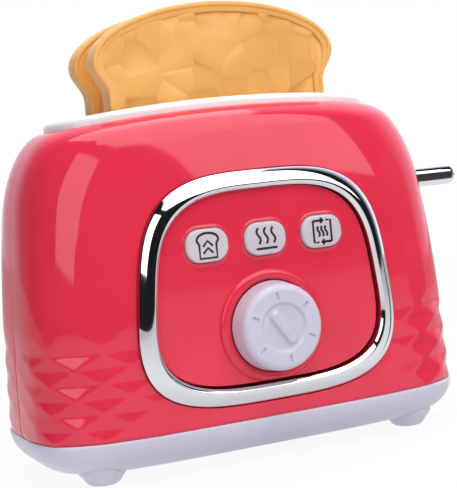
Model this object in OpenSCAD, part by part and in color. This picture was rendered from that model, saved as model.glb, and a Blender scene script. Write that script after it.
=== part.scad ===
// Toy pop-up toaster with two slices of toast, a wind-up timer knob and three push buttons.
// X runs along the width, Y from front to back, Z up from the floor that the feet stand on.

/* [Body] */
// Width of the body where the shells meet the base
body_w = 200; // [194:1:208]
// Depth of the body where the shells meet the base
body_d = 96; // [95:0.5:102]
// Height of the joint line between the base and the shells
seam_z = 20; // [19:0.5:21]
// Height of the shells' crest at the middle of the top
crest_z = 152.5; // [150:0.5:158]
// Drop of the arched crest from the middle to the ends of the top plate
crown_drop = 4.5; // [3:0.5:6]
// Height at which the side walls turn into the shoulders
shoulder_z = 111; // [106:1:116]
// Exponent of the shoulder curve, 2 for an ellipse
shoulder_curve = 2.2; // [2:0.1:2.4]
// Width lost on each side from the joint line to the shoulders
side_lean = 4.8; // [4:0.1:5.5]
// Height at which the front and rear walls start to lean back
lean_z = 100; // [94:1:110]
// Lean of the front and rear walls at the crest
lean = 6; // [4:0.5:7]
// Height of the rounding at the top of the front and rear walls
top_round = 9; // [7:0.5:11]
// Squareness of the plan at the joint line, 2 for an ellipse
square_low = 4.3; // [4:0.1:4.8]
// Squareness of the plan at the crest
square_high = 2.9; // [2.7:0.1:3.4]
// Wall of the moulded shells
wall = 2.2; // [1.8:0.1:2.6]

/* [Facet band] */
// Height of one row of facets
facet_row_h = 6.1; // [5.6:0.1:6.5]
// Corners of the facets in one row, all round the body
facet_cols = 24; // [20:4:28]
// Depth of the facets as a share of the depth of flat ones
facet_depth = 0.6; // [0.4:0.05:1]

/* [Base] */
// Height of the base floor over the ground, which is the height of the feet
floor_z = 5; // [4.5:0.5:6.5]
// How far the base tucks in below the joint line
base_tuck = 16; // [13:0.5:17]
// Distance of a foot from the middle of the width
foot_x = 74; // [70:0.5:76]
// Distance of a foot from the middle of the depth
foot_y = 26.5; // [25:0.5:28]
// Radius of a foot on the ground
foot_r = 5; // [4.5:0.5:6.5]
// Radius of a foot at the base
foot_top_r = 10; // [8:0.5:10.5]
// Height of the lip that keys the base into the shells
lip_h = 3; // [2:0.5:3.5]

/* [Top plate] */
// Length of the top plate
plate_l = 146; // [143:0.5:149]
// Depth of the top plate
plate_d = 62; // [60:0.5:66]
// Height of the top plate above the crest
plate_rise = 4; // [3:0.5:6]
// Thickness of the top plate
plate_t = 2.2; // [1.8:0.1:2.6]
// Gap between the top plate and the shells
plate_gap = 0.3; // [0.2:0.05:0.5]
// Height from the lower edge of the bread chutes to the top of the plate
skirt_h = 30; // [22:1:32]
// Wall of the bread chutes
skirt_t = 1.6; // [1.2:0.1:1.8]

/* [Toast] */
// Distance between the middle planes of the two slices
toast_pitch = 25.8; // [25:0.2:28]
// Thickness of a slice
toast_t = 9.5; // [8.5:0.1:10.5]
// Width of a slice below its bulge
toast_w = 102.7; // [99:0.1:105]
// Width of a slice across its bulge
toast_bulge_w = 114.4; // [112:0.1:117]
// Height of a slice
toast_h = 98; // [94:0.5:101]
// Height of the domed top over the widest line
toast_dome_h = 23.7; // [21:0.1:25]
// Height over which the slice narrows below the bulge
toast_neck_h = 14; // [11:0.5:16]
// Radius of the lower corners of a slice
toast_corner_r = 8; // [6:0.5:10]
// Width of the raised crust rim
crust_w = 4.6; // [3.6:0.1:5.4]
// Depth of the crumb face below the crust rim
crumb_step = 0.8; // [0.5:0.1:1.2]
// Free space between a slice and its slot on each side
slot_play = 1.3; // [1:0.1:1.6]

/* [Lift] */
// Height that the toast stands over the crest when it is up
toast_show = 46.2; // [43:0.2:48]
// Travel of the carriage from up to down
lift_travel = 42; // [36:1:44]
// Thickness of the carriage shelf
shelf_t = 3; // [2.5:0.1:3.5]
// Distance of a guide rod from the middle of the width
rod_x = 66; // [65:0.5:67.5]
// Diameter of a guide rod
rod_dia = 5; // [4:0.5:5.5]
// Running clearance on the radius of every shaft and rod
running_fit = 0.05; // [0.02:0.01:0.1]
// Height of a guide block
guide_h = 14; // [12:0.5:16]
// Radius of a guide block
guide_r = 6.2; // [5.8:0.1:6.6]
// Turns of a lift spring
lift_turns = 12; // [9:1:14]
// Wire of a lift spring
lift_wire = 1; // [0.8:0.1:1.2]

/* [Lever] */
// Height of the lever over the carriage shelf
lever_over_shelf = 11.8; // [11:0.2:14]
// Diameter of the lever handle
lever_dia = 10; // [9:0.1:11]
// Length of the lever handle
lever_l = 26.3; // [22:0.5:30]
// Thickness of the square lever stem
stem_t = 5; // [4:0.1:5.4]

/* [Control panel] */
// Width of the bezel at half its height
bezel_w = 116.6; // [113:0.2:118]
// Height of the bezel
bezel_h = 97.4; // [94:0.2:98]
// Height of the middle of the bezel
bezel_z = 75.6; // [74.6:0.2:77]
// Squareness of the bezel outline
bezel_square = 3.4; // [3:0.1:3.8]
// Taper of the bezel towards its top
bezel_taper = 0.09; // [0.06:0.01:0.11]
// Width of the bezel band
bezel_band = 7.6; // [6.8:0.1:8.2]
// Height of the bezel's crest over its seat
bezel_rise = 5.4; // [4.6:0.1:6]
// Height of the panel face over the front of the body
panel_rise = 0.5; // [0.2:0.1:1]
// Thickness of the panel
panel_t = 2.2; // [1.8:0.1:2.6]
// Open joint between the bezel and the panel
panel_gap = 0.9; // [0.6:0.1:1.2]

/* [Buttons] */
// Distance between two buttons
button_pitch = 26.7; // [25.8:0.1:27.2]
// Height of the row of buttons
button_z = 95.3; // [94.5:0.1:96]
// Width of a button
button_w = 19.5; // [18:0.1:20.5]
// Height of a button
button_h = 14.4; // [13:0.1:15.2]
// Corner radius of a button
button_r = 6.4; // [5:0.1:6.4]
// Travel of a button
button_travel = 1.8; // [1.2:0.1:2]
// Height of a button over the panel face
button_rise = 1.9; // [1.9:0.1:2.6]
// Free space round a button in its hole
button_gap = 0.3; // [0.2:0.05:0.4]
// Height of the lip round a button hole
button_lip = 0.8; // [0.4:0.1:1]

/* [Knob] */
// Height of the knob's axis
knob_z = 58.3; // [57.6:0.1:59]
// Radius of the knob
knob_r = 19.6; // [18:0.1:20.4]
// Depth of the knob
knob_h = 10.6; // [9:0.1:12]
// Radius of the raised ring on the panel round the knob
ring_r = 23.8; // [23:0.1:24.6]
// Diameter of the knob's arbor
arbor_dia = 6; // [5:0.1:6.4]
// Radius of the dish in the face of the knob
dish_r = 10.6; // [10:0.1:12]

/* [Timer] */
// Module of the clockwork gears
gear_module = 0.9; // [0.86:0.01:0.92]
// Teeth of the winding gear
wind_teeth = 36; // [34:1:36]
// Teeth of the second wheel
second_teeth = 30; // [28:1:30]
// Teeth of both pinions
pinion_teeth = 12; // [11:1:12]
// Play between two meshing teeth
backlash = 0.3; // [0.2:0.05:0.4]
// Thickness of the timer's plates
timer_plate_t = 1.5; // [1.2:0.1:1.8]
// Distance between the timer's plates
timer_room = 13.5; // [13.4:0.1:14.5]
// Diameter of the timer's axles and of the latch pin
axle_dia = 2; // [1.6:0.1:2.4]
// Turns of the mainspring
main_turns = 5; // [4:1:6]

/* [Screws] */
// Diameter of the large screws
screw_dia = 3; // [2.6:0.1:3.2]
// Diameter of the small screws
small_screw_dia = 2.2; // [2:0.1:2.4]

/* [Hidden] */
$fn = 64;

// Small values that several pieces share.
eps = 0.01;
seat = 0.02;
clear = 0.3;

// The opening in the top of the shells, and the plate that fills it.
top_w = plate_l + 2 * plate_gap;
top_d = plate_d + 2 * plate_gap;
plate_top = crest_z + plate_rise;
arch_r = (plate_l * plate_l / 4 + crown_drop * crown_drop) / (2 * crown_drop);
rim_low = crest_z - crown_drop - wall;

// The lift: heights of the slices, the carriage and the lever when the toast is up.
toast_top = crest_z + toast_show;
shelf_z = toast_top - toast_h;
guide_z = shelf_z - shelf_t - guide_h / 2 + 1.5;
lever_z = shelf_z + lever_over_shelf;
lever_x = body_w / 2 + 0.5;
lever_tip = lever_x + lever_l;
grip_l = lever_l - 7.5;
slot_l = toast_bulge_w + 2 * slot_play;
slot_d = toast_t + 2 * slot_play;
shelf_d = toast_pitch + slot_d + 1;
rod_boss_z = seam_z + 4;
rod_boss_r = rod_dia / 2 + 3.5;

// The control panel: depths measured from the middle plane towards the front.
bezel_seat = body_d / 2 - 2.4;
collar_back = bezel_seat - 3.8;
panel_y = body_d / 2 + panel_rise;
panel_in = panel_y - panel_t;
panel_inset = bezel_band + panel_gap;
hole_inset = 3;
flange_out = 1.5;
knob_back = panel_y + 0.5;
knob_front = knob_back + knob_h;

// The clockwork: the plates' depths, the wheels' radii and the axles' places.
timer_front = collar_back - panel_t - clear;
timer_inner = timer_front - timer_plate_t;
timer_rear = timer_inner - timer_room;
timer_back = timer_rear - timer_plate_t;
timer_bite = 0.63 * (panel_in - timer_front);
gear_play = 0.1;
wind_r = wind_teeth * gear_module / 2;
second_r = second_teeth * gear_module / 2;
pinion_r = pinion_teeth * gear_module / 2;
second_at = [wind_r + pinion_r + gear_play, knob_z];
fly_angle = -120;
fly_reach = second_r + pinion_r + gear_play;
fly_at = second_at + fly_reach * [cos(fly_angle), sin(fly_angle)];
gear_t = 2;
wind_y = timer_inner - 0.5;
cam_y = wind_y - gear_t - 0.7;
second_y = cam_y - gear_t - 0.5;
fly_y = second_y - gear_t - 0.6;
main_y = second_y - gear_t - 0.7;
main_w = main_y - timer_rear - 1;
main_r = 11.2;
cam_r = 5.4;
cam_lobe = 7;
plate_low = [-29, knob_z - 20];
plate_high = [37, knob_z + 24.7];
pillar_in = 4;
pillar_r = 2.6;
latch_at = [-18, knob_z - 11.3];
hook_x = -29.3;
hook_w = 6;
hook_z = shelf_z - lift_travel + 2.7;
arm_x = -36;
arm_w = 4;
nub_w = 2;
nub_h = 3;
nub_z = shelf_z - 1.7;
arm_front = cam_y + 0.2;
arm_top = shelf_z + 4.3;

// The buttons' springs and the plate behind them.
button_front = panel_y + button_rise;
button_flange = 1.2;
button_flange_t = 1.5;
button_back = panel_in - 0.1 - button_flange_t;
stem_r = 2.2;
button_coil_r = 3.4;
button_wire = 0.6;
button_turns = 3.5;
retainer_y = button_back - 4 * button_wire - button_travel - 1;
retainer_t = 1.8;
retainer_x = button_pitch + button_w / 2 + button_flange + 3.6;

// The screws' places.
base_screw = [body_w / 2 - 16, body_d / 6];
shell_low = [body_w / 2 - 16, seam_z + 25];
shell_high = [body_w / 2 - 18, crest_z - 24.5];
shell_head_y = 16;
shell_bite = 16;
screw_r = screw_dia / 2;
head_r = screw_dia;
small_r = small_screw_dia / 2;
small_head_r = small_screw_dia * 0.86;

// Every piece is placed so that the middle of the whole toy stands over the origin.
shift = [-(lever_tip - body_w / 2) / 2, (knob_front - body_d / 2) / 2, 0];
module placed() { translate(shift) children(); }

// Outlines and walls of the body.
function power_sign(v, e) = sign(v) * pow(abs(v), e);
function part_of(z, low, high) = max(0, min(1, (z - low) / (high - low)));
function squareness(z) = square_low + (square_high - square_low) * part_of(z, seam_z, crest_z);
function bulge(v, e) = pow(1 - pow(v, e), 1 / e);
function side_x(z) = body_w / 2 - side_lean * pow((z - seam_z) / (shoulder_z - seam_z), 2);
function front_y(z) = body_d / 2 - lean * pow(part_of(z, lean_z, crest_z), 1.6);
function half_w(z, inset) =
    top_w / 2 + (side_x(z) - inset - top_w / 2) * bulge(part_of(z, shoulder_z, crest_z), shoulder_curve);
function half_d(z, inset) =
    top_d / 2 + (front_y(z) - inset - top_d / 2) * bulge(part_of(z, crest_z - top_round, crest_z), 2);
function plan_y(x, z) =
    half_d(z, 0) * pow(1 - pow(x / half_w(z, 0), squareness(z)), 1 / squareness(z));
function plan_point(angle, w, d, e) = [w * power_sign(cos(angle), 2 / e), d * power_sign(sin(angle), 2 / e)];

// Columns of points at equal steps along the joint line, counted from the right end to the left end.
STEPS = 90;
half_cols = facet_cols;
function seam_point(i) = plan_point(90 * i / STEPS, body_w / 2, body_d / 2, square_low);
quarter_arc = [for (i = 0, s = 0; i <= STEPS;
    s = s + norm(seam_point(i + 1) - seam_point(i)), i = i + 1) [s, 90 * i / STEPS]];
quarter_l = quarter_arc[STEPS][0];
function quarter_angle(j) = lookup(2 * j * quarter_l / half_cols, quarter_arc);
function column_angle(j) = j <= half_cols / 2 ? quarter_angle(j) : 180 - quarter_angle(half_cols - j);

// A point of the shell's outer or inner surface; side is -1 on the front half and 1 on the rear half.
function skin(j, z, inset, drop, side) =
    let (p = plan_point(column_angle(j), half_w(z, inset), half_d(z, inset), squareness(z)))
    let (arch = crown_drop * pow(part_of(z, shoulder_z, crest_z), 2) * pow(2 * p[0] / top_w, 2))
    [p[0], side * p[1], z - arch - drop];

// The facet band: corners lie on the surface in alternate columns, and the points between them lie
// between the surface and the straight edges that join the corners of one row.
facet_rows = 7;
function on_corner(r, j) = (r + j) % 2 == 1 || r >= facet_rows;
function mirrored(p) = [p[0], 0, p[2]];
function chord_middle(j, z, side) =
    j == 0 ? mirrored(skin(1, z, 0, 0, side)) :
    j == half_cols ? mirrored(skin(half_cols - 1, z, 0, 0, side)) :
    (skin(j - 1, z, 0, 0, side) + skin(j + 1, z, 0, 0, side)) / 2;
function edge_middle(j, z, side) =
    facet_depth * chord_middle(j, z, side) + (1 - facet_depth) * skin(j, z, 0, 0, side);
function outer_point(r, j, side) =
    on_corner(r, j) ? skin(j, row_z[r], 0, 0, side) : edge_middle(j, row_z[r], side);
function inner_point(r, j, side) =
    skin(j, row_z[r], wall, wall * part_of(row_z[r], shoulder_z - 30, crest_z), side);

// Heights of the rows of points, from the joint line to the crest.
band_top = seam_z + facet_rows * facet_row_h;
row_z = concat([for (r = [0:facet_rows]) seam_z + r * facet_row_h],
    [for (k = [1:2]) band_top + (shoulder_z - band_top) * k / 3],
    [for (k = [0:8]) shoulder_z + (crest_z - shoulder_z) * sin(90 * k / 8)]);

// One half of the shell as a closed wall: for each column a loop up the outside and down the inside.
module half_shell(side) {
    rows = len(row_z);
    loop = 2 * rows;
    points = [for (j = [0:half_cols]) each concat(
        [for (r = [0:rows - 1]) outer_point(r, j, side)],
        [for (r = [rows - 1:-1:0]) inner_point(r, j, side)])];
    function corner_cut(j, r) = r < facet_rows && !on_corner(r, j);
    walls = [for (j = [0:half_cols - 1]) for (r = [0:loop - 1])
        let (a = j * loop + r, b = a + loop)
        let (c = j * loop + (r + 1) % loop, d = c + loop)
        each corner_cut(j, r) ? [[a, b, c], [b, d, c]] : [[a, b, d], [a, d, c]]];
    ends = [for (j = [0, half_cols]) for (r = [0:rows - 2])
        let (a = j * loop + r, b = j * loop + loop - 1 - r)
        each j == 0 ? [[a, a + 1, b - 1], [a, b - 1, b]] : [[a, b - 1, a + 1], [a, b, b - 1]]];
    faces = concat(walls, ends);
    polyhedron(points, side < 0 ? faces : [for (f = faces) [f[0], f[2], f[1]]]);
}

// Shapes that repeat.
module along_y(front, back) {
    translate([0, -back, 0]) rotate([90, 0, 0]) linear_extrude(front - back) children();
}
module pin_y(x, z, r, front, back) {
    along_y(front, back) translate([x, z]) circle(r);
}
module pill(w, h, r) {
    square([w, h - 2 * r], center = true);
    square([w - 2 * r, h], center = true);
    for (x = [-1, 1]) for (z = [-1, 1]) translate([x * (w / 2 - r), z * (h / 2 - r)]) circle(r);
}
function bezel_point(angle, inset) =
    let (v = power_sign(sin(angle), 2 / bezel_square), u = power_sign(cos(angle), 2 / bezel_square))
    [u * (bezel_w / 2 - inset) * (1 - bezel_taper * v), bezel_z + v * (bezel_h / 2 - inset)];
BEZEL_STEPS = 72;
module bezel_outline(inset) {
    polygon([for (i = [0:BEZEL_STEPS - 1]) bezel_point(360 * i / BEZEL_STEPS, inset)]);
}
// The top plate's outline has its points on the same columns as the shells' rim.
module plate_outline(inset) {
    polygon([for (j = [0:tray_cols - 1])
        plan_point(tray_angle(j), plate_l / 2 - inset, plate_d / 2 - inset, square_high)]);
}
module screw_up(r, head, length, head_h) {
    translate([0, 0, -head_h]) cylinder(h = head_h, r = head);
    cylinder(h = length, r = r);
}
module screw_y(x, z, r, head, head_y, length) {
    translate([x, -head_y, z]) rotate([90, 0, 0]) screw_up(r, head, length, head * 0.7);
}
// A coil spring: a round wire that climbs in even turns.
WIRE_SIDES = 6;
TURN_RINGS = 8;
module coil(r, wire, turns, length) {
    rings = turns * TURN_RINGS;
    points = [for (i = [0:rings]) for (k = [0:WIRE_SIDES - 1])
        let (turn = 360 * i / TURN_RINGS, a = 360 * k / WIRE_SIDES)
        let (reach = r + wire / 2 * cos(a))
        [reach * cos(turn), reach * sin(turn),
            wire / 2 + (length - wire) * i / rings + wire / 2 * sin(a)]];
    sides = [for (i = [0:rings - 1]) for (k = [0:WIRE_SIDES - 1])
        let (a = i * WIRE_SIDES + k, b = i * WIRE_SIDES + (k + 1) % WIRE_SIDES)
        each [[a, b, b + WIRE_SIDES], [a, b + WIRE_SIDES, a + WIRE_SIDES]]];
    start = [for (k = [1:WIRE_SIDES - 2]) [0, k + 1, k]];
    last = rings * WIRE_SIDES;
    end = [for (k = [1:WIRE_SIDES - 2]) [last, last + k, last + k + 1]];
    polyhedron(points, [for (f = concat(sides, start, end)) [f[0], f[2], f[1]]]);
}
// A spur gear with involute flanks.
PRESSURE = 20;
function involute(r, base) = r <= base ? 0 :
    let (roll = sqrt(pow(r / base, 2) - 1)) roll * 180 / PI - atan(roll);
module spur_gear(teeth, turn) {
    pitch = teeth * gear_module / 2;
    base = pitch * cos(PRESSURE);
    root = pitch - 1.2 * gear_module;
    tip = pitch + 0.85 * gear_module;
    low = max(base, root);
    half = 90 / teeth + involute(pitch, base) - backlash / 4 * 180 / PI / pitch;
    radii = [root, low, (low + pitch) / 2, pitch, tip];
    rotate(turn) polygon([for (t = [0:teeth - 1]) each concat(
        [for (i = [0:4]) let (a = 360 * t / teeth - half + involute(radii[i], base))
            radii[i] * [cos(a), sin(a)]],
        [for (i = [4:-1:0]) let (a = 360 * t / teeth + half - involute(radii[i], base))
            radii[i] * [cos(a), sin(a)]])]);
}

// The shells.
module lever_slot() {
    half = lever_dia / 2 + 0.6;
    low = lever_z - lift_travel;
    translate([half_w(lever_z, wall) - 8, 0, 0]) rotate([90, 0, 90]) linear_extrude(30) {
        for (z = [low, lever_z]) translate([0, z]) circle(half);
        translate([-half, low]) square([2 * half, lift_travel]);
    }
}
post_r = screw_r + 2.8;
function post_depth(at) = plan_y(at[0] + post_r, at[1]) - wall / 2;
module shell_posts() {
    for (s = [-1, 1]) for (at = [shell_low, shell_high])
        pin_y(s * at[0], at[1], post_r, post_depth(at), 0);
}
base_boss_r = screw_r + 2.9;
base_boss_top = seam_z + 15;
rib_t = 2;
rib_low = seam_z + lip_h + 1;
rib_l = half_w(seam_z, wall) + wall / 2 - base_screw[0];
module base_bosses() {
    for (s = [-1, 1]) {
        translate([s * base_screw[0], -base_screw[1], seam_z])
            cylinder(h = base_boss_top - seam_z, r = base_boss_r);
        translate([s * (base_screw[0] + rib_l / 2), -base_screw[1], (base_boss_top + rib_low) / 2])
            cube([rib_l, rib_t, base_boss_top - rib_low], center = true);
    }
}
module base_boss_holes() {
    for (s = [-1, 1]) translate([s * base_screw[0], -base_screw[1], seam_z - 1])
        cylinder(h = base_boss_top - seam_z - 1, r = screw_r + seat);
}
PANEL_SCREWS = [38, 142, 218, 322];
BEZEL_PINS = [12, 90, 168, 270];
pin_r = 1;
pin_l = 2.6;
module front_shell() {
    color("crimson") difference() {
        union() {
            half_shell(-1);
            along_y(bezel_seat, collar_back) difference() {
                bezel_outline(-3);
                bezel_outline(hole_inset);
            }
            shell_posts();
            base_bosses();
        }
        along_y(body_d, bezel_seat) bezel_outline(-clear);
        along_y(body_d, collar_back - 2 * wall) bezel_outline(hole_inset);
        for (a = BEZEL_PINS) let (p = bezel_point(a, hole_inset / 2))
            pin_y(p[0], p[1], pin_r + running_fit, bezel_seat + 1, bezel_seat - pin_l - 0.4);
        for (a = PANEL_SCREWS) let (p = bezel_point(a, hole_inset / 3))
            pin_y(p[0], p[1], small_r + seat, bezel_seat - 0.6, collar_back - 1);
        for (s = [-1, 1]) for (at = [shell_low, shell_high])
            pin_y(s * at[0], at[1], screw_r + seat, shell_bite, -1);
        base_boss_holes();
        lever_slot();
    }
}
module rear_shell() {
    color("crimson") difference() {
        union() {
            half_shell(1);
            mirror([0, 1, 0]) shell_posts();
            mirror([0, 1, 0]) base_bosses();
        }
        for (s = [-1, 1]) for (at = [shell_low, shell_high]) {
            pin_y(s * at[0], at[1], screw_r + running_fit, 1, -body_d);
            pin_y(s * at[0], at[1], head_r + clear, -shell_head_y, -body_d);
        }
        mirror([0, 1, 0]) base_boss_holes();
        lever_slot();
    }
}
module shell_screws() {
    color("silver") for (s = [-1, 1]) for (at = [shell_low, shell_high])
        screw_y(s * at[0], at[1], screw_r, head_r, -shell_head_y, shell_head_y + shell_bite - 2);
}

// The base.
TRAY_ROWS = 6;
tray_cols = 2 * half_cols;
function tray_angle(j) = j <= half_cols ? column_angle(j) : 360 - column_angle(tray_cols - j);
function tray_point(j, k, inset, lift) =
    let (a = 90 * k / TRAY_ROWS)
    let (tuck = base_tuck * (1 - sin(a)) + inset)
    let (p = plan_point(tray_angle(j), body_w / 2 - tuck, body_d / 2 - tuck, square_low))
    [p[0], p[1], floor_z + lift + (seam_z - floor_z - lift) * (1 - cos(a))];
module tray_wall() {
    loop = 2 * (TRAY_ROWS + 1);
    points = concat([for (j = [0:tray_cols - 1]) each concat(
        [for (k = [0:TRAY_ROWS]) tray_point(j, k, 0, 0)],
        [for (k = [TRAY_ROWS:-1:0]) tray_point(j, k, wall, wall)])],
        [[0, 0, floor_z], [0, 0, floor_z + wall]]);
    under = len(points) - 2;
    faces = [for (j = [0:tray_cols - 1])
        let (n = (j + 1) % tray_cols)
        each concat([for (r = [0:loop - 2]) each [
            [j * loop + r, n * loop + r + 1, n * loop + r],
            [j * loop + r, j * loop + r + 1, n * loop + r + 1]]],
            [[under, j * loop, n * loop], [under + 1, n * loop + loop - 1, j * loop + loop - 1]])];
    polyhedron(points, faces);
}
module seam_outline(inset) {
    polygon([for (j = [0:tray_cols - 1])
        plan_point(tray_angle(j), body_w / 2 - inset, body_d / 2 - inset, square_low)]);
}
lip_inset = wall + 0.9;
lip_t = 1.6;
base_head_z = seam_z - 9.5;
module base_tray() {
    color("lavender") difference() {
        union() {
            tray_wall();
            translate([0, 0, seam_z - 4]) linear_extrude(lip_h + 4) difference() {
                seam_outline(lip_inset);
                seam_outline(lip_inset + lip_t);
            }
            translate([0, 0, seam_z - 4]) linear_extrude(3) difference() {
                seam_outline(wall / 2);
                seam_outline(lip_inset + lip_t);
            }
            for (x = [-1, 1]) for (y = [-1, 1]) {
                translate([x * foot_x, y * foot_y, 0])
                    cylinder(h = floor_z + wall, r1 = foot_r, r2 = foot_top_r);
                translate([x * base_screw[0], y * base_screw[1], floor_z + 1])
                    cylinder(h = seam_z - floor_z - 1, r = head_r + 2);
            }
            for (x = [-1, 1]) translate([x * rod_x, 0, floor_z + 1])
                cylinder(h = rod_boss_z - floor_z - 1, r = rod_boss_r);
        }
        for (x = [-1, 1]) for (y = [-1, 1]) translate([x * base_screw[0], y * base_screw[1], 0]) {
            translate([0, 0, -1]) cylinder(h = base_head_z + 1, r = head_r + clear);
            cylinder(h = seam_z + 1, r = screw_r + running_fit);
        }
        for (x = [-1, 1]) translate([x * rod_x, 0, floor_z + wall + 1])
            cylinder(h = rod_boss_z, r = rod_dia / 2 + seat);
    }
}
module base_screws() {
    color("silver") for (x = [-1, 1]) for (y = [-1, 1])
        translate([x * base_screw[0], y * base_screw[1], base_head_z])
            screw_up(screw_r, head_r, base_boss_top - base_head_z - 4, head_r * 0.7);
}

// The top plate with its bread slots, and the chutes under it.
module arch(top) {
    translate([0, plate_d, top - arch_r]) rotate([90, 0, 0]) cylinder(h = 2 * plate_d, r = arch_r, $fn = 720);
}
rod_top = plate_top - crown_drop - plate_t - 2;
rod_hold = 10;
module slot_2d(side, grow) {
    translate([0, side * toast_pitch / 2]) square([slot_l + 2 * grow, slot_d + 2 * grow], center = true);
}
module rod_sockets() {
    for (x = [-1, 1]) translate([x * rod_x, 0, rod_top - rod_hold])
        cylinder(h = 2 * rod_hold, r = rod_boss_r);
}
flange_top = rim_low - 2 * clear;
flange_t = 1.6;
flange_w = 1.4;
module plate_prism(low, inset) {
    translate([0, 0, low]) linear_extrude(plate_rise + crown_drop + skirt_h) plate_outline(inset);
}
module top_plate() {
    color("whitesmoke") difference() {
        union() {
            difference() {
                union() {
                    intersection() {
                        plate_prism(flange_top - 2 * flange_t, 0);
                        arch(plate_top);
                    }
                    translate([0, 0, flange_top - flange_t]) linear_extrude(flange_t)
                        plate_outline(-plate_gap - flange_w);
                }
                intersection() {
                    plate_prism(flange_top - 3 * flange_t, wall);
                    arch(plate_top - plate_t);
                }
            }
            intersection() {
                rod_sockets();
                arch(plate_top - plate_t / 2);
            }
        }
        for (side = [-1, 1]) translate([0, 0, plate_top - skirt_h]) linear_extrude(2 * skirt_h)
            slot_2d(side, 0);
        for (x = [-1, 1]) translate([x * rod_x, 0, rod_top - 2 * rod_hold])
            cylinder(h = 2 * rod_hold, r = rod_dia / 2 + seat);
    }
}
// A chute that guides one slice below its slot, bonded under the plate.
module bread_chute(side) {
    color("whitesmoke") intersection() {
        translate([0, 0, plate_top - skirt_h]) linear_extrude(skirt_h) difference() {
            slot_2d(side, skirt_t);
            slot_2d(side, 0);
        }
        arch(plate_top - plate_t - seat);
    }
}
module front_bread_chute() { bread_chute(-1); }
module rear_bread_chute() { bread_chute(1); }

// The control panel and its bezel.
// The upper left pillar stands clear of the latch's hook at any height of the hook.
pillar_left = plate_low[0] + pillar_in;
pillar_right = plate_high[0] - pillar_in;
pillar_low = plate_low[1] + pillar_in;
pillar_high = plate_high[1] - pillar_in;
PILLARS = [[pillar_left, pillar_low], [max(pillar_left, hook_x + hook_w + pillar_r + 1), pillar_high],
    [pillar_right, pillar_low], [pillar_right, pillar_high]];
module button_hole(grow) {
    pill(button_w + 2 * grow, button_h + 2 * grow, button_r + grow);
}
module each_button() {
    for (i = [-1:1]) translate([i * button_pitch, button_z]) children();
}
button_rim = 1.2;
ring_rise = 1.5;
ring_w = 2.6;
module control_panel() {
    color("crimson") difference() {
        union() {
            along_y(panel_y, panel_in) bezel_outline(panel_inset);
            along_y(panel_in + eps, collar_back) difference() {
                bezel_outline(panel_inset);
                bezel_outline(panel_inset + panel_t);
            }
            along_y(collar_back, collar_back - panel_t) difference() {
                bezel_outline(-flange_out);
                bezel_outline(panel_inset + panel_t);
            }
            along_y(panel_y + ring_rise, panel_in) difference() {
                intersection() {
                    translate([0, knob_z]) circle(ring_r);
                    bezel_outline(panel_inset);
                }
                translate([0, knob_z]) circle(ring_r - ring_w);
            }
            along_y(panel_y + button_lip, panel_in) each_button() button_hole(button_gap + button_rim);
            for (p = PILLARS) pin_y(p[0], p[1], small_r + 2, panel_in + 1, timer_front);
            for (s = [-1, 1]) pin_y(s * retainer_x, button_z, small_r + 1.6, panel_in + 1, retainer_y);
        }
        along_y(body_d, panel_in - 1) each_button() button_hole(button_gap);
        pin_y(0, knob_z, arbor_dia / 2 + running_fit, body_d, panel_in - 2 * panel_t);
        for (p = PILLARS) pin_y(p[0], p[1], small_r + seat, panel_in, timer_front - 1);
        for (s = [-1, 1]) pin_y(s * retainer_x, button_z, small_r + seat, panel_in, retainer_y - 1);
        for (a = PANEL_SCREWS) let (p = bezel_point(a, hole_inset / 3))
            pin_y(p[0], p[1], small_r + running_fit, collar_back + 1, collar_back - panel_t - 1);
    }
}
module panel_screws() {
    color("silver") for (a = PANEL_SCREWS) let (p = bezel_point(a, hole_inset / 3))
        screw_y(p[0], p[1], small_r, small_head_r, collar_back - panel_t, panel_t + 2.8);
}
ARC_STEPS = 8;
module bezel_ring() {
    arc = [for (k = [0:ARC_STEPS]) let (a = 180 * k / ARC_STEPS)
        [bezel_band / 2 * (1 - cos(a)), bezel_seat + bezel_rise * (0.35 + 0.65 * sin(a))]];
    section = concat([[0, bezel_seat]], arc, [[bezel_band, bezel_seat]]);
    n = len(section);
    points = [for (i = [0:BEZEL_STEPS - 1]) each [for (s = section)
        let (p = bezel_point(360 * i / BEZEL_STEPS, s[0])) [p[0], -s[1], p[1]]]];
    faces = [for (i = [0:BEZEL_STEPS - 1]) for (k = [0:n - 1])
        let (a = i * n + k, b = i * n + (k + 1) % n)
        let (c = (i + 1) % BEZEL_STEPS * n + k, d = (i + 1) % BEZEL_STEPS * n + (k + 1) % n)
        each [[a, d, b], [a, c, d]]];
    color("silver") {
        polyhedron(points, faces);
        for (a = BEZEL_PINS) let (p = bezel_point(a, hole_inset / 2))
            pin_y(p[0], p[1], pin_r, bezel_seat + 1, bezel_seat - pin_l);
    }
}

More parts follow.
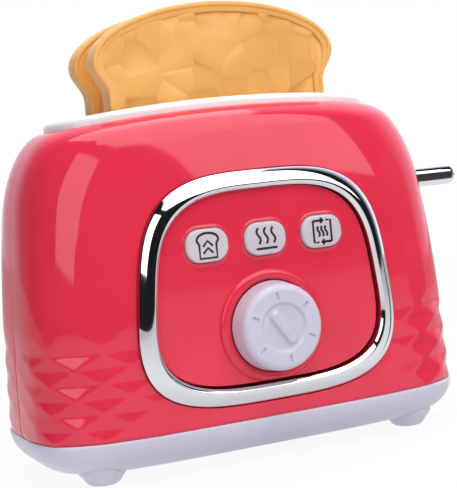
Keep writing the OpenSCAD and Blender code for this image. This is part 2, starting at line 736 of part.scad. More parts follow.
// The buttons.
module button(i) {
    color("gainsboro") translate([i * button_pitch, 0, button_z]) {
        along_y(button_front - 0.5, button_back) pill(button_w, button_h, button_r);
        along_y(button_front, button_back) pill(button_w - 1, button_h - 1, button_r - 0.5);
        along_y(button_back + button_flange_t, button_back)
            pill(button_w + 2 * button_flange, button_h + 2 * button_flange, button_r);
        pin_y(0, 0, stem_r, button_back + 1, retainer_y - retainer_t - 0.4);
    }
}
module button_left() { button(-1); }
module button_middle() { button(0); }
module button_right() { button(1); }
module button_spring(i) {
    color("silver") translate([i * button_pitch, -retainer_y - seat, button_z]) rotate([90, 0, 0])
        coil(button_coil_r, button_wire, button_turns, button_back - retainer_y - 2 * seat);
}
module button_spring_left() { button_spring(-1); }
module button_spring_middle() { button_spring(0); }
module button_spring_right() { button_spring(1); }
module button_retainer() {
    color("ivory") difference() {
        along_y(retainer_y, retainer_y - retainer_t) translate([0, button_z])
            square([2 * retainer_x + 7, button_h], center = true);
        for (i = [-1:1])
            pin_y(i * button_pitch, button_z, stem_r + running_fit, retainer_y + 1, retainer_y - 5);
        for (s = [-1, 1])
            pin_y(s * retainer_x, button_z, small_r + running_fit, retainer_y + 1, retainer_y - 5);
    }
}
module retainer_screws() {
    color("silver") for (s = [-1, 1])
        screw_y(s * retainer_x, button_z, small_r, small_head_r, retainer_y - retainer_t, retainer_t + 4.4);
}

// The knob and the clockwork.
knob_fillet = 2.4;
knob_taper = 0.8;
dish = 0.7;
pointer = [1.6 * dish_r, 4.5];
pointer_turn = 125;
ticks = 6;
tick = [3.4, 0.8, 0.5];
tick_turn = 98;
knob_flat_r = knob_r - knob_fillet - knob_taper;
knob_roof = 3.4;
module knob() {
    color("lavender") translate([0, -knob_back, knob_z]) rotate([90, 0, 0]) difference() {
        rotate_extrude() {
            side_h = knob_h - knob_fillet;
            square([knob_flat_r, knob_h]);
            polygon([[0, 0], [knob_r, 0], [knob_r - knob_taper, side_h], [0, side_h]]);
            translate([knob_flat_r, side_h]) circle(knob_fillet);
        }
        difference() {
            translate([0, 0, knob_h - dish]) cylinder(h = dish + 1, r = dish_r);
            rotate([0, 0, pointer_turn]) translate([0, 0, knob_h - dish - 1]) linear_extrude(dish + 2)
                pill(pointer[0], pointer[1], pointer[1] / 2 - 0.05);
        }
        for (i = [0:ticks - 1]) rotate([0, 0, tick_turn - 360 * i / ticks])
            translate([(dish_r + knob_flat_r) / 2, 0, knob_h - tick[2]])
                linear_extrude(2) square([tick[0], tick[1]], center = true);
        translate([0, 0, -1]) cylinder(h = knob_h - knob_roof + 1 + clear, r = arbor_dia / 2 + seat);
    }
}
module knob_arbor() {
    color("silver") pin_y(0, knob_z, arbor_dia / 2, knob_front - knob_roof, timer_back);
}
module winding_gear() {
    color("ivory") along_y(wind_y, wind_y - gear_t) translate([0, knob_z]) difference() {
        spur_gear(wind_teeth, 0);
        circle(arbor_dia / 2 + seat);
    }
}
module release_cam() {
    color("ivory") along_y(cam_y, cam_y - gear_t) translate([0, knob_z]) difference() {
        union() {
            circle(cam_r);
            translate([0, cam_r + 1 - cam_lobe]) circle(cam_r - 1);
            translate([0, -cam_lobe + 1.6]) circle(1.6);
        }
        circle(arbor_dia / 2 + seat);
    }
}
module second_wheel() {
    color("ivory") difference() {
        union() {
            along_y(wind_y, second_y) translate(second_at)
                spur_gear(pinion_teeth, 180 - 180 / pinion_teeth);
            along_y(second_y, second_y - gear_t) translate(second_at) spur_gear(second_teeth, fly_angle);
        }
        pin_y(second_at[0], second_at[1], axle_dia / 2 + running_fit, timer_front, timer_back);
    }
}
fly_l = 15;
module governor_fly() {
    color("ivory") difference() {
        union() {
            along_y(second_y, fly_y) translate(fly_at)
                spur_gear(pinion_teeth, fly_angle + 180 - 180 / pinion_teeth);
            along_y(fly_y, fly_y - gear_t) translate(fly_at) {
                pill(fly_l, 4.4, 2);
                circle(4);
            }
        }
        pin_y(fly_at[0], fly_at[1], axle_dia / 2 + running_fit, timer_front, timer_back);
    }
}
module timer_plate(front) {
    difference() {
        along_y(front, front - timer_plate_t) translate(plate_low) square(plate_high - plate_low);
        pin_y(0, knob_z, arbor_dia / 2 + running_fit, front + 1, front - timer_plate_t - 1);
        for (p = [second_at, fly_at, latch_at])
            pin_y(p[0], p[1], axle_dia / 2 + seat, front + 1, front - timer_plate_t - 1);
        for (p = PILLARS) pin_y(p[0], p[1], small_r + running_fit, front + 1, front - timer_plate_t - 1);
    }
}
module timer_front_plate() { color("silver") timer_plate(timer_front); }
module timer_rear_plate() {
    color("silver") {
        timer_plate(timer_rear);
        pin_y(main_end[0], knob_z + main_end[1], 1, main_y - 0.2, timer_rear - eps);
    }
}
module timer_pillars() {
    color("silver") for (p = PILLARS) along_y(timer_inner, timer_rear) translate(p) difference() {
        circle(pillar_r);
        circle(small_r + running_fit);
    }
}
module timer_screws() {
    color("silver") for (p = PILLARS)
        screw_y(p[0], p[1], small_r, small_head_r, timer_back, timer_front - timer_back + timer_bite);
}
module timer_axles() {
    color("silver") for (p = [second_at, fly_at]) pin_y(p[0], p[1], axle_dia / 2, timer_front, timer_back);
}
// The mainspring: a flat strip wound from the arbor out to its post.
main_strip = 0.5;
main_steps = 16 * main_turns;
main_in = arbor_dia / 2 + 0.25 + main_strip / 2;
function spiral(i, off) =
    let (a = 360 * i / 16, r = main_in + (main_r - main_in) * i / main_steps + off)
    r * [cos(a), sin(a)];
main_end = spiral(main_steps, main_strip / 2 + 1.1);
module mainspring() {
    color("silver") along_y(main_y, main_y - main_w) translate([0, knob_z]) polygon(concat(
        [for (i = [0:main_steps]) spiral(i, main_strip / 2)],
        [for (i = [main_steps:-1:0]) spiral(i, -main_strip / 2)]));
}
// The latch that holds the carriage down until the cam lets it go.
latch_tail = 4;
tail_h = 3.6;
module latch() {
    tail_top = knob_z - cam_lobe - 2.1;
    hook_in = [hook_x + hook_w - 1.5, hook_z + hook_w / 2];
    hook_out = [hook_x + 0.8, hook_z + hook_w / 2];
    color("ivory") along_y(cam_y, cam_y - gear_t) difference() {
        union() {
            translate(latch_at) circle(axle_dia / 2 + 2.4);
            translate([latch_at[0], tail_top - tail_h]) square([latch_tail - latch_at[0], tail_h]);
            polygon([latch_at + [-3, 0], latch_at + [2, 2], hook_in, hook_out]);
            polygon([[hook_x, hook_z], [hook_x + hook_w, hook_z], hook_in, hook_out]);
        }
        translate(latch_at) circle(axle_dia / 2 + running_fit);
    }
}
module latch_pin() { color("silver") pin_y(latch_at[0], latch_at[1], axle_dia / 2, timer_front, timer_back); }

// The lift.
module bread_carriage() {
    window_d = toast_pitch - slot_d;
    guide_low = guide_z - guide_h / 2;
    color("ivory") difference() {
        union() {
            translate([-rod_x, -shelf_d / 2, shelf_z - shelf_t]) cube([2 * rod_x, shelf_d, shelf_t]);
            for (s = [-1, 1]) translate([s * rod_x, 0, guide_low]) cylinder(h = guide_h, r = guide_r);
            translate([rod_x, 0, guide_low]) cylinder(h = lever_z + stem_t / 2 + 2 - guide_low, r = guide_r);
            translate([rod_x, -stem_t / 2, lever_z - stem_t / 2])
                cube([lever_x + grip_l - 0.5 - rod_x, stem_t, stem_t]);
            translate([arm_x, -arm_front, shelf_z - shelf_t])
                cube([arm_w, arm_front - shelf_d / 2 + 1, arm_top - shelf_z + shelf_t]);
            translate([arm_x, -arm_front, nub_z]) cube([arm_w + nub_w, gear_t + 0.6, nub_h]);
        }
        translate([-toast_w / 2 + 6, -window_d / 2, shelf_z - 10]) cube([toast_w - 12, window_d, 20]);
        for (s = [-1, 1]) translate([s * rod_x, 0, 0]) cylinder(h = plate_top, r = rod_dia / 2 + running_fit);
    }
}
module lever_handle() {
    tip_r = 3;
    color("silver") translate([lever_x, 0, lever_z]) rotate([0, 90, 0]) difference() {
        rotate_extrude() {
            square([lever_dia / 2, lever_l - tip_r]);
            square([lever_dia / 2 - tip_r, lever_l]);
            translate([lever_dia / 2 - tip_r, lever_l - tip_r]) intersection() {
                circle(tip_r);
                square(tip_r);
            }
        }
        translate([-stem_t / 2 - seat, -stem_t / 2 - seat, -1])
            cube([stem_t + 2 * seat, stem_t + 2 * seat, grip_l + 1]);
    }
}
module guide_rods() {
    color("silver") for (x = [-1, 1]) translate([x * rod_x, 0, floor_z + wall + 1])
        cylinder(h = rod_top - floor_z - wall - 1, r = rod_dia / 2);
}
module lift_springs() {
    low = rod_boss_z + seat;
    color("silver") for (x = [-1, 1]) translate([x * rod_x, 0, low])
        coil(rod_dia / 2 + lift_wire / 2 + 0.6, lift_wire, lift_turns, guide_z - guide_h / 2 - seat - low);
}

// A slice of toast: a domed top over a bulge, a neck and a straight body with round lower corners.
DOME_STEPS = 24;
NECK_STEPS = 6;
CORNER_STEPS = 5;
function toast_half(inset) =
    let (bulge_z = toast_top - toast_dome_h)
    let (low = shelf_z + inset, half = toast_w / 2 - inset, wide = toast_bulge_w / 2 - inset)
    let (r = toast_corner_r)
    concat(
        [for (k = [0:CORNER_STEPS]) let (a = 90 * k / CORNER_STEPS)
            [half - r + r * sin(a), low + r - r * cos(a)]],
        [for (k = [0:NECK_STEPS]) let (a = 180 * k / NECK_STEPS)
            [half + (wide - half) * (1 - cos(a)) / 2, bulge_z - toast_neck_h * (1 - k / NECK_STEPS)]],
        [for (k = [1:DOME_STEPS / 2 - 1]) let (a = 180 * k / DOME_STEPS)
            [wide * cos(a), bulge_z + (toast_dome_h - inset) * sin(a)]]);
module toast_outline(inset) {
    half = toast_half(inset);
    polygon(concat(half, [[0, toast_top - inset]],
        [for (i = [len(half) - 1:-1:0]) [-half[i][0], half[i][1]]]));
}
module toast(y) {
    front = toast_t / 2 - y;
    color("sandybrown") difference() {
        along_y(front, front - toast_t) toast_outline(0);
        along_y(front + 1, front - crumb_step) toast_outline(crust_w);
        along_y(front - toast_t + crumb_step, front - toast_t - 1) toast_outline(crust_w);
    }
}
module toast_front() { toast(-toast_pitch / 2); }
module toast_rear() { toast(toast_pitch / 2); }

placed() front_shell();
placed() rear_shell();
placed() base_tray();
placed() top_plate();
placed() front_bread_chute();
placed() rear_bread_chute();
placed() control_panel();
placed() bezel_ring();
placed() panel_screws();
placed() shell_screws();
placed() base_screws();
placed() guide_rods();
placed() lift_springs();
placed() timer_front_plate();
placed() timer_rear_plate();
placed() timer_pillars();
placed() timer_screws();
placed() timer_axles();
placed() mainspring();
placed() latch_pin();
placed() button_retainer();
placed() retainer_screws();
placed() button_spring_left();
placed() button_spring_middle();
placed() button_spring_right();
placed() bread_carriage();
placed() lever_handle();
placed() toast_front();
placed() toast_rear();
placed() knob();
placed() knob_arbor();
placed() winding_gear();
placed() release_cam();
placed() second_wheel();
placed() governor_fly();
placed() latch();
placed() button_left();
placed() button_middle();
placed() button_right();
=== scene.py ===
# %% [markdown]
# # A toy pop-up toaster, dressed for its portrait
#
# The real toy is a hollow housing of glossy red plastic on a pale base, with a chrome frame round
# its panel and two plastic slices of toast that a lever pushes down. The measured parts come in
# first, because every later piece takes its place and its movement from them.

# %% Load the measured parts
import random
from contextlib import contextmanager
from math import copysign, cos, pi, radians, sin, sqrt

import bmesh
import bpy
import numpy as np
from mathutils import Matrix, Vector


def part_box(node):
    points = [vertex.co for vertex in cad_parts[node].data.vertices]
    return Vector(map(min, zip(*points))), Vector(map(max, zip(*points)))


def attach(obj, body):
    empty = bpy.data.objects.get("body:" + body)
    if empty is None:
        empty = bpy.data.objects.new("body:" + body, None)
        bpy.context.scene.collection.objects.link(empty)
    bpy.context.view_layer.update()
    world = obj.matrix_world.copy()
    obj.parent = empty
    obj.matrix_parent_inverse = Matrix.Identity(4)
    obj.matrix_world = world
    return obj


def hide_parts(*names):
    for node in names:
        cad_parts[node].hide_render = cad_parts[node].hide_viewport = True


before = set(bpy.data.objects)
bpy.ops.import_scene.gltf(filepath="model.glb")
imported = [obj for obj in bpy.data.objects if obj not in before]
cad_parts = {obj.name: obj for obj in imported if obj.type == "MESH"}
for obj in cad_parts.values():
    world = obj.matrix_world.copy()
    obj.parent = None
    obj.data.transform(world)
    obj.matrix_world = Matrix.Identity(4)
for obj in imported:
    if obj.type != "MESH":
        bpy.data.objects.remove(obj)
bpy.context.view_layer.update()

# %% [markdown]
# All the shapes below are drawn in millimetres from the middle of the body, with the front at
# negative y, as a toy designer would dimension them. One function turns such a point into the
# metres of the shared frame. The base tray's box gives the middle and the overall width and depth.

# %% Millimetres of the body and metres of the frame
MM = 0.001
tray_low, tray_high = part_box("base_tray")
BODY_X = (tray_low.x + tray_high.x) / 2
BODY_Y = (tray_low.y + tray_high.y) / 2
BODY_W = (tray_high.x - tray_low.x) / MM
BODY_D = (tray_high.y - tray_low.y) / MM


def in_frame(point):
    return (BODY_X + point[0] * MM, BODY_Y + point[1] * MM, point[2] * MM)


print("body width and depth in mm:", round(BODY_W, 1), round(BODY_D, 1))

# %% [markdown]
# Every piece is a closed mesh with welded corners and outward faces, like a solid moulding. Faces
# that meet at a shallow angle are shaded as one smooth skin; a steeper edge stays crisp, as the
# parting edges of moulded plastic do.

# %% Helpers that make and join solids
WELD = 1e-6
CRISP = 40


@contextmanager
def edited(piece):
    bm = bmesh.new()
    bm.from_mesh(piece.data)
    yield bm
    bm.to_mesh(piece.data)
    bm.free()


def tidy(piece):
    with edited(piece) as bm:
        bmesh.ops.remove_doubles(bm, verts=bm.verts, dist=WELD)
        bmesh.ops.dissolve_degenerate(bm, edges=bm.edges, dist=WELD)
        bmesh.ops.recalc_face_normals(bm, faces=bm.faces)


def add_object(name, data):
    made = bpy.data.objects.new(name, data)
    bpy.context.scene.collection.objects.link(made)
    return made


def solid(name, points, faces):
    mesh = bpy.data.meshes.new(name)
    mesh.from_pydata([in_frame(p) for p in points], [], faces)
    piece = add_object(name, mesh)
    tidy(piece)
    return piece


def shade(piece, crisp_above=CRISP):
    with edited(piece) as bm:
        for face in bm.faces:
            face.smooth = True
        for edge in bm.edges:
            edge.smooth = edge.is_manifold and edge.calc_face_angle(0) < radians(crisp_above)


def combine(piece, tool, operation):
    name = piece.data.name
    step = piece.modifiers.new("combine", "BOOLEAN")
    step.object = tool
    step.operation = operation
    step.solver = "EXACT"
    shown = piece.evaluated_get(bpy.context.evaluated_depsgraph_get())
    mesh = bpy.data.meshes.new_from_object(shown)
    piece.modifiers.clear()
    old = piece.data
    piece.data = mesh
    bpy.data.meshes.remove(old)
    mesh.name = name
    bpy.data.objects.remove(tool)
    tidy(piece)


def join(piece, other):
    with edited(piece) as bm:
        bm.from_mesh(other.data)
    bpy.data.objects.remove(other)


def coat(piece, material):
    piece.data.materials.clear()
    piece.data.materials.append(material)


def dress(piece, body, node, material):
    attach(piece, body)
    if node:
        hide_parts(node)
    coat(piece, material)
    print(piece.name, "has", len(piece.data.polygons), "faces")


print("welding corners closer than, in mm:", WELD / MM)

# %% [markdown]
# Most of the pieces are swept: a closed outline is repeated along a profile, and each copy is joined to
# the next. A lathe turns a profile about an axis, and a pill is a rounded rectangle that grows or
# shrinks from step to step. A place function says where such an outline stands.

# %% Helpers that draw outlines and sweep them
PILL_STEPS = 14
EDGE_STEPS = 5


def turns(steps):
    return [2 * pi * k / steps for k in range(steps)]


def arc(centre, radius, start, end, steps):
    angles = [radians(start + (end - start) * k / steps) for k in range(steps + 1)]
    return [(centre[0] + radius * cos(a), centre[1] + radius * sin(a)) for a in angles]


def soft_edge(radius):
    return [(radius * (1 - cos(a)), radius * (1 - sin(a))) for a in np.linspace(0, pi / 2, EDGE_STEPS + 1)]


def pill_outline(w, h, r, steps):
    outline = []
    for k, (sx, sz) in enumerate(((1, 1), (-1, 1), (-1, -1), (1, -1))):
        centre = (sx * (w / 2 - r), sz * (h / 2 - r))
        outline += arc(centre, r, 90 * k, 90 * k + 90, steps)
    return outline


def pill_loops(size, profile, place, steps=PILL_STEPS):
    w, h, r = size
    loops = []
    for grow, rise in profile:
        line = pill_outline(w + 2 * grow, h + 2 * grow, r + grow, steps)
        loops.append([place(u, v, rise) for u, v in line])
    return loops


def lathe(profile, place, steps):
    return [[place(r * cos(a), r * sin(a), h) for a in turns(steps)] for r, h in profile]


def standing(x, y):
    return lambda u, v, h: (x + u, y + v, h)


def facing(x, z):
    return lambda u, v, h: (x + u, -h, z + v)


def sweep(name, loops, ring=False):
    count = len(loops[0])
    points = [p for loop in loops for p in loop]
    faces = []
    for row in range(len(loops) if ring else len(loops) - 1):
        low = row * count
        high = (row + 1) % len(loops) * count
        for k in range(count):
            n = (k + 1) % count
            faces.append((low + k, low + n, high + n, high + k))
    if not ring:
        faces.append(tuple(range(count)))
        faces.append(tuple(range((len(loops) - 1) * count, len(loops) * count)))
    return solid(name, points, faces)


print("points round a pill:", len(pill_outline(2, 1, 0.4, PILL_STEPS)))

# %% [markdown]
# A material is a small network of nodes. These helpers add a node with its settings, wire an output of
# one node to an input of another, and lay out a ramp of colours from a list of stops.

# %% Helpers that wire materials
def shader(name):
    material = bpy.data.materials.new(name)
    material.use_nodes = True
    tree = material.node_tree
    return material, tree, tree.nodes["Principled BSDF"]


def set_values(node, values):
    for socket, value in values.items():
        node.inputs[socket].default_value = value


def add_node(tree, kind, values=None):
    node = tree.nodes.new(kind)
    set_values(node, values or {})
    return node


def wire(tree, *runs):
    for start, output, end, socket in runs:
        tree.links.new(start.outputs[output], end.inputs[socket])


def add_ramp(tree, stops):
    ramp = add_node(tree, "ShaderNodeValToRGB")
    marks = ramp.color_ramp.elements
    for position, _ in stops[1:-1]:
        marks.new(position)
    for mark, (position, colour) in zip(marks, stops):
        mark.position = position
        mark.color = (*colour, 1)
    return ramp


print("material helpers ready")

# %% [markdown]
# Injection-moulded plastic is never a perfectly even colour: it has a faint cloudiness from the
# pigment and a fine waviness on its polished skin. Each plastic below takes its colour from one noise
# and its waviness from another.

# %% Plastics
CLOUD_SCALE = 40
CLOUD_SPAN = (0.35, 0.65)
SKIN_DEPTH = 0.0002
PLASTIC_IOR = 1.5


def cloud_colour(tree, bsdf, dark, light, scale):
    place = add_node(tree, "ShaderNodeTexCoord")
    noise = add_node(tree, "ShaderNodeTexNoise", {"Scale": scale, "Detail": 3})
    ramp = add_ramp(tree, list(zip(CLOUD_SPAN, (dark, light))))
    wire(tree, (place, "Object", noise, "Vector"), (noise, "Fac", ramp, "Fac"),
         (ramp, "Color", bsdf, "Base Color"))
    return place


def skin_bump(tree, bsdf, place, scale, depth, strength):
    noise = add_node(tree, "ShaderNodeTexNoise", {"Scale": scale, "Detail": 2})
    bump = add_node(tree, "ShaderNodeBump", {"Strength": strength, "Distance": depth})
    wire(tree, (place, "Object", noise, "Vector"), (noise, "Fac", bump, "Height"),
         (bump, "Normal", bsdf, "Normal"))


def plastic(name, dark, light, roughness, grain, strength):
    material, tree, bsdf = shader(name)
    place = cloud_colour(tree, bsdf, dark, light, CLOUD_SCALE)
    skin_bump(tree, bsdf, place, grain, SKIN_DEPTH, strength)
    set_values(bsdf, {"Roughness": roughness, "IOR": PLASTIC_IOR})
    return material


red = plastic("red_gloss", (0.79, 0.034, 0.074), (0.83, 0.038, 0.081), 0.06, 600, 0.004)
white = plastic("white_satin", (0.615, 0.585, 0.71), (0.655, 0.625, 0.75), 0.28, 700, 0.03)
plate_white = plastic("plate_gloss", (0.86, 0.85, 0.88), (0.90, 0.89, 0.92), 0.2, 700, 0.02)
button_grey = plastic("button_satin", (0.62, 0.57, 0.63), (0.66, 0.61, 0.67), 0.3, 700, 0.03)
inner_grey = plastic("inner_plastic", (0.55, 0.54, 0.52), (0.62, 0.61, 0.58), 0.45, 500, 0.06)
ink = plastic("black_ink", (0.012, 0.012, 0.014), (0.02, 0.02, 0.022), 0.45, 1500, 0.1)
print("plastics:", [m.name for m in (red, white, plate_white, button_grey, inner_grey, ink)])

# %% [markdown]
# The frame and the lever are plastic with a bright chrome plating, which mirrors the studio. The
# steel of the rods, springs and screws inside is plain drawn wire, so it is rougher and streaked.

# %% Metals
def metal(name, colour, low, high, scale, stretch):
    material, tree, bsdf = shader(name)
    place = add_node(tree, "ShaderNodeTexCoord")
    mapping = add_node(tree, "ShaderNodeMapping", {"Scale": stretch})
    noise = add_node(tree, "ShaderNodeTexNoise", {"Scale": scale})
    spread = add_node(tree, "ShaderNodeMapRange", {"To Min": low, "To Max": high})
    wire(tree, (place, "Object", mapping, "Vector"), (mapping, "Vector", noise, "Vector"),
         (noise, "Fac", spread, "Value"), (spread, "Result", bsdf, "Roughness"))
    set_values(bsdf, {"Base Color": (*colour, 1), "Metallic": 1})
    return material


chrome = metal("chrome_plating", (0.82, 0.83, 0.85), 0.03, 0.07, 60, (1, 1, 1))
steel = metal("drawn_steel", (0.56, 0.56, 0.57), 0.25, 0.45, 300, (1, 1, 0.1))
print("metals:", chrome.name, steel.name)

# %% [markdown]
# The housing's plan is a rounded rectangle drawn as a superellipse, a little squarer at the bottom
# than at the top. Going up, the sides draw in slightly so that the moulding leaves its die, then
# round over into the crown. The rule is the same as in the measured part, only sampled finer.

# %% The rule of the housing's surface
SEAM_Z = 20.0
CREST_Z = 152.5
CROWN_DROP = 4.5
SHOULDER_Z = 111.0
SHOULDER_CURVE = 2.2
SIDE_LEAN = 4.8
LEAN_Z = 100.0
LEAN = 6.0
LEAN_CURVE = 1.6
TOP_ROUND = 9.0
SQUARE_LOW = 4.3
SQUARE_HIGH = 2.9
WALL = 2.2
PLATE_L = 149.0
PLATE_D = 62.0
PLATE_GAP = 0.6
TOP_W = PLATE_L + PLATE_GAP
TOP_D = PLATE_D + PLATE_GAP


def signed_power(v, e):
    return copysign(abs(v) ** e, v)


def part_of(z, low, high):
    return max(0.0, min(1.0, (z - low) / (high - low)))


def swell(v, e):
    return max(0.0, 1 - v ** e) ** (1 / e)


def squareness(z):
    return SQUARE_LOW + (SQUARE_HIGH - SQUARE_LOW) * part_of(z, SEAM_Z, CREST_Z)


def half_w(z, inset):
    side = BODY_W / 2 - SIDE_LEAN * ((z - SEAM_Z) / (SHOULDER_Z - SEAM_Z)) ** 2 - inset
    return TOP_W / 2 + (side - TOP_W / 2) * swell(part_of(z, SHOULDER_Z, CREST_Z), SHOULDER_CURVE)


def half_d(z, inset):
    front = BODY_D / 2 - LEAN * part_of(z, LEAN_Z, CREST_Z) ** LEAN_CURVE - inset
    return TOP_D / 2 + (front - TOP_D / 2) * swell(part_of(z, CREST_Z - TOP_ROUND, CREST_Z), 2)


def plan_point(angle, w, d, e):
    return (w * signed_power(cos(angle), 2 / e), d * signed_power(sin(angle), 2 / e))


def plan_loops(profile, w, d, e, angles):
    return [[(*plan_point(a, w / 2 - inset, d / 2 - inset, e), z) for a in angles] for inset, z in profile]


def skin(angle, z, inset=0, drop=0):
    x, y = plan_point(angle, half_w(z, inset), half_d(z, inset), squareness(z))
    arch = CROWN_DROP * part_of(z, SHOULDER_Z, CREST_Z) ** 2 * (2 * x / TOP_W) ** 2
    return np.array((x, -y, z - arch - drop))


print("crown opening in mm:", TOP_W, TOP_D)

# %% [markdown]
# Round the foot of the housing runs a band of triangles, seven rows high, cut into the red plastic
# like the facets of a gem. The corners of the triangles lie on the smooth surface in every second
# column, so the flats between them dip inwards. Columns stand at equal steps along the joint line.

# %% Columns and the lattice of the facet band
COLUMNS = 24
FACET_ROWS = 7
FACET_ROW_H = 6.1
FACET_DEPTH = 0.32
FACET_DIP = 0.45
FACET_FADE = ((0, 4, 8, 12), (0.45, 1.0, 0.85, 0.65))
BAND_BLEND = 0.35
BAND_TOP = SEAM_Z + FACET_ROWS * FACET_ROW_H


def arc_table(angles):
    points = np.array([plan_point(a, BODY_W / 2, BODY_D / 2, SQUARE_LOW) for a in angles])
    steps = np.linalg.norm(np.diff(points, axis=0), axis=1)
    return np.concatenate([[0], np.cumsum(steps)])


rough_angles = np.radians(np.arange(91.0))
rough_arcs = arc_table(rough_angles)
spread = np.linspace(0, 1, 3001)
fine_angles = pi / 2 * spread ** 3 / (spread ** 3 + (1 - spread) ** 3)
fine_arcs = arc_table(fine_angles)


def column_arc(j):
    angle = np.interp(2 * j / COLUMNS * rough_arcs[-1], rough_arcs, rough_angles)
    return np.interp(angle, fine_angles, fine_arcs)


def column_angle(c):
    if c > COLUMNS / 2:
        return pi - column_angle(COLUMNS - c)
    whole = min(int(c), COLUMNS // 2 - 1)
    low = column_arc(whole)
    high = column_arc(whole + 1)
    return float(np.interp(low + (high - low) * (c - whole), fine_arcs, fine_angles))


def is_corner(r, j):
    return (r + j) % 2 == 1 or r >= FACET_ROWS


def lattice_point(r, j):
    z = SEAM_Z + r * FACET_ROW_H
    if is_corner(r, j):
        return skin(column_angle(j), z)
    fade = float(np.interp(min(j, COLUMNS - j), *FACET_FADE))
    depth = FACET_DEPTH * fade
    dipped = skin(column_angle(j), z, FACET_DIP * fade) * (1 - depth)
    if j in (0, COLUMNS):
        chord = skin(column_angle(abs(j - 1)), z) * (1, 0, 1)
    else:
        chord = (skin(column_angle(j - 1), z) + skin(column_angle(j + 1), z)) / 2
    return chord * depth + dipped


lattice = [[lattice_point(r, j) for j in range(COLUMNS + 1)] for r in range(FACET_ROWS + 1)]


def facet_point(c, t):
    j = min(int(c), COLUMNS - 1)
    r = min(int(t), FACET_ROWS - 1)
    fc = c - j
    ft = t - r
    a, b = lattice[r][j], lattice[r][j + 1]
    d, e = lattice[r + 1][j], lattice[r + 1][j + 1]
    if is_corner(r, j):
        depth = ft - fc
        flat = a + fc * (b - a) + ft * (e - b) if depth <= 0 else a + ft * (d - a) + fc * (e - d)
    else:
        depth = fc + ft - 1
        below = a + fc * (b - a) + ft * (d - a)
        above = e + (1 - fc) * (d - e) + (1 - ft) * (b - e)
        flat = below if depth <= 0 else above
    if r == FACET_ROWS - 1 and depth > 0:
        true = skin(column_angle(c), SEAM_Z + t * FACET_ROW_H)
        flat = flat + (true - flat) * part_of(depth, 0, BAND_BLEND)
    return flat


print("facet corners:", sum(is_corner(r, j) for r in range(FACET_ROWS) for j in range(COLUMNS + 1)))

# %% [markdown]
# Each half of the housing is one thin-walled moulding. Its outer skin is a fine grid: the facet band
# below, then the smooth surface up to the crown. A round of averaging softens the ridges of the band,
# as polishing softens them in a steel mould, and a fine groove marks where the two halves meet. The
# inner skin follows behind the wall thickness.

# %% The grid of one half of the housing
SUB = 6
SMOOTH_ROWS = 14
CROWN_ROWS = 28
ROW_BLEND = (0.8, 0.1)
FOOT_CHAMFER = 0.35
JOINT_STEP = 0.03
JOINT_DEEP = 0.28
SEAM_GAP = 0.1
INNER_BAND_INSET = 3.6
INNER_EASE = 8
DROP_START = SHOULDER_Z - 30

columns = sorted([k / SUB for k in range(COLUMNS * SUB + 1)] + [JOINT_STEP, COLUMNS - JOINT_STEP])
band_rows = [k / SUB for k in range(FACET_ROWS * SUB + 1)]
upper_z = [BAND_TOP + (SHOULDER_Z - BAND_TOP) * k / SMOOTH_ROWS for k in range(1, SMOOTH_ROWS)]
upper_z += [SHOULDER_Z + (CREST_Z - SHOULDER_Z) * sin(pi / 2 * k / CROWN_ROWS)
            for k in range(CROWN_ROWS + 1)]
row_z = [SEAM_Z + t * FACET_ROW_H for t in band_rows] + upper_z
angles = [column_angle(c) for c in columns]

outer = np.array([[facet_point(c, t) for c in columns] for t in band_rows]
                 + [[skin(a, z) for a in angles] for z in upper_z])


def soften(grid, rows):
    left = np.roll(grid, 1, axis=1)
    right = np.roll(grid, -1, axis=1)
    left[:, 0] = grid[:, 1] * (1, -1, 1)
    right[:, -1] = grid[:, -2] * (1, -1, 1)
    grid[:rows] = grid[:rows] / 2 + (left + right)[:rows] / 4
    beside = grid[:rows - 1] + grid[2:rows + 1]
    grid[1:rows] = grid[1:rows] * ROW_BLEND[0] + beside * ROW_BLEND[1]


soften(outer, len(band_rows) + 1)
outer[0] += np.array([skin(a, SEAM_Z, FOOT_CHAMFER) - skin(a, SEAM_Z) for a in angles])
outer[0, :, 2] = SEAM_Z + SEAM_GAP
outer[:, 0, 0] -= JOINT_DEEP
outer[:, -1, 0] += JOINT_DEEP


def inner_inset(z):
    return WALL + (INNER_BAND_INSET - WALL) * (1 - part_of(z, BAND_TOP, BAND_TOP + INNER_EASE))


def inner_drop(z):
    return WALL * part_of(z, DROP_START, CREST_Z)


inner = np.array([[skin(a, z, inner_inset(z), inner_drop(z)) for a in angles] for z in row_z])
inner[0, :, 2] = SEAM_Z + SEAM_GAP
print("grid of one half:", outer.shape[0], "rows of", outer.shape[1])

# %% [markdown]
# The grid becomes a closed wall: the outer skin, the inner skin, and narrow strips that join them at
# the joint line, at the crown's opening and where the two halves meet. In the band each small square
# is split along the facet's own diagonal, so that a ridge runs true.

# %% The two halves of the housing
def half_shell(name, side):
    rows, cols = outer.shape[:2]
    flip = np.array((1, -side, 1))
    points = np.concatenate([(outer * flip).reshape(-1, 3), (inner * flip).reshape(-1, 3)])
    inside = rows * cols
    faces = []
    for r in range(rows - 1):
        for c in range(cols - 1):
            a = r * cols + c
            b, d, e = a + 1, a + cols, a + cols + 1
            if r < FACET_ROWS * SUB:
                if is_corner(r // SUB, int(columns[c])):
                    faces += [(a, b, e), (a, e, d)]
                else:
                    faces += [(a, b, d), (b, e, d)]
            else:
                faces.append((a, b, e, d))
            faces.append((inside + a, inside + d, inside + e, inside + b))
    rims = [(r * cols + c, 1) for r in (0, rows - 1) for c in range(cols - 1)]
    rims += [(r * cols + c, cols) for c in (0, cols - 1) for r in range(rows - 1)]
    for a, step in rims:
        faces.append((a, a + step, inside + a + step, inside + a))
    return solid(name, points, faces)


front_shell = half_shell("front_housing", -1)
rear_shell = half_shell("rear_housing", 1)
print("faces of a half:", len(front_shell.data.polygons))

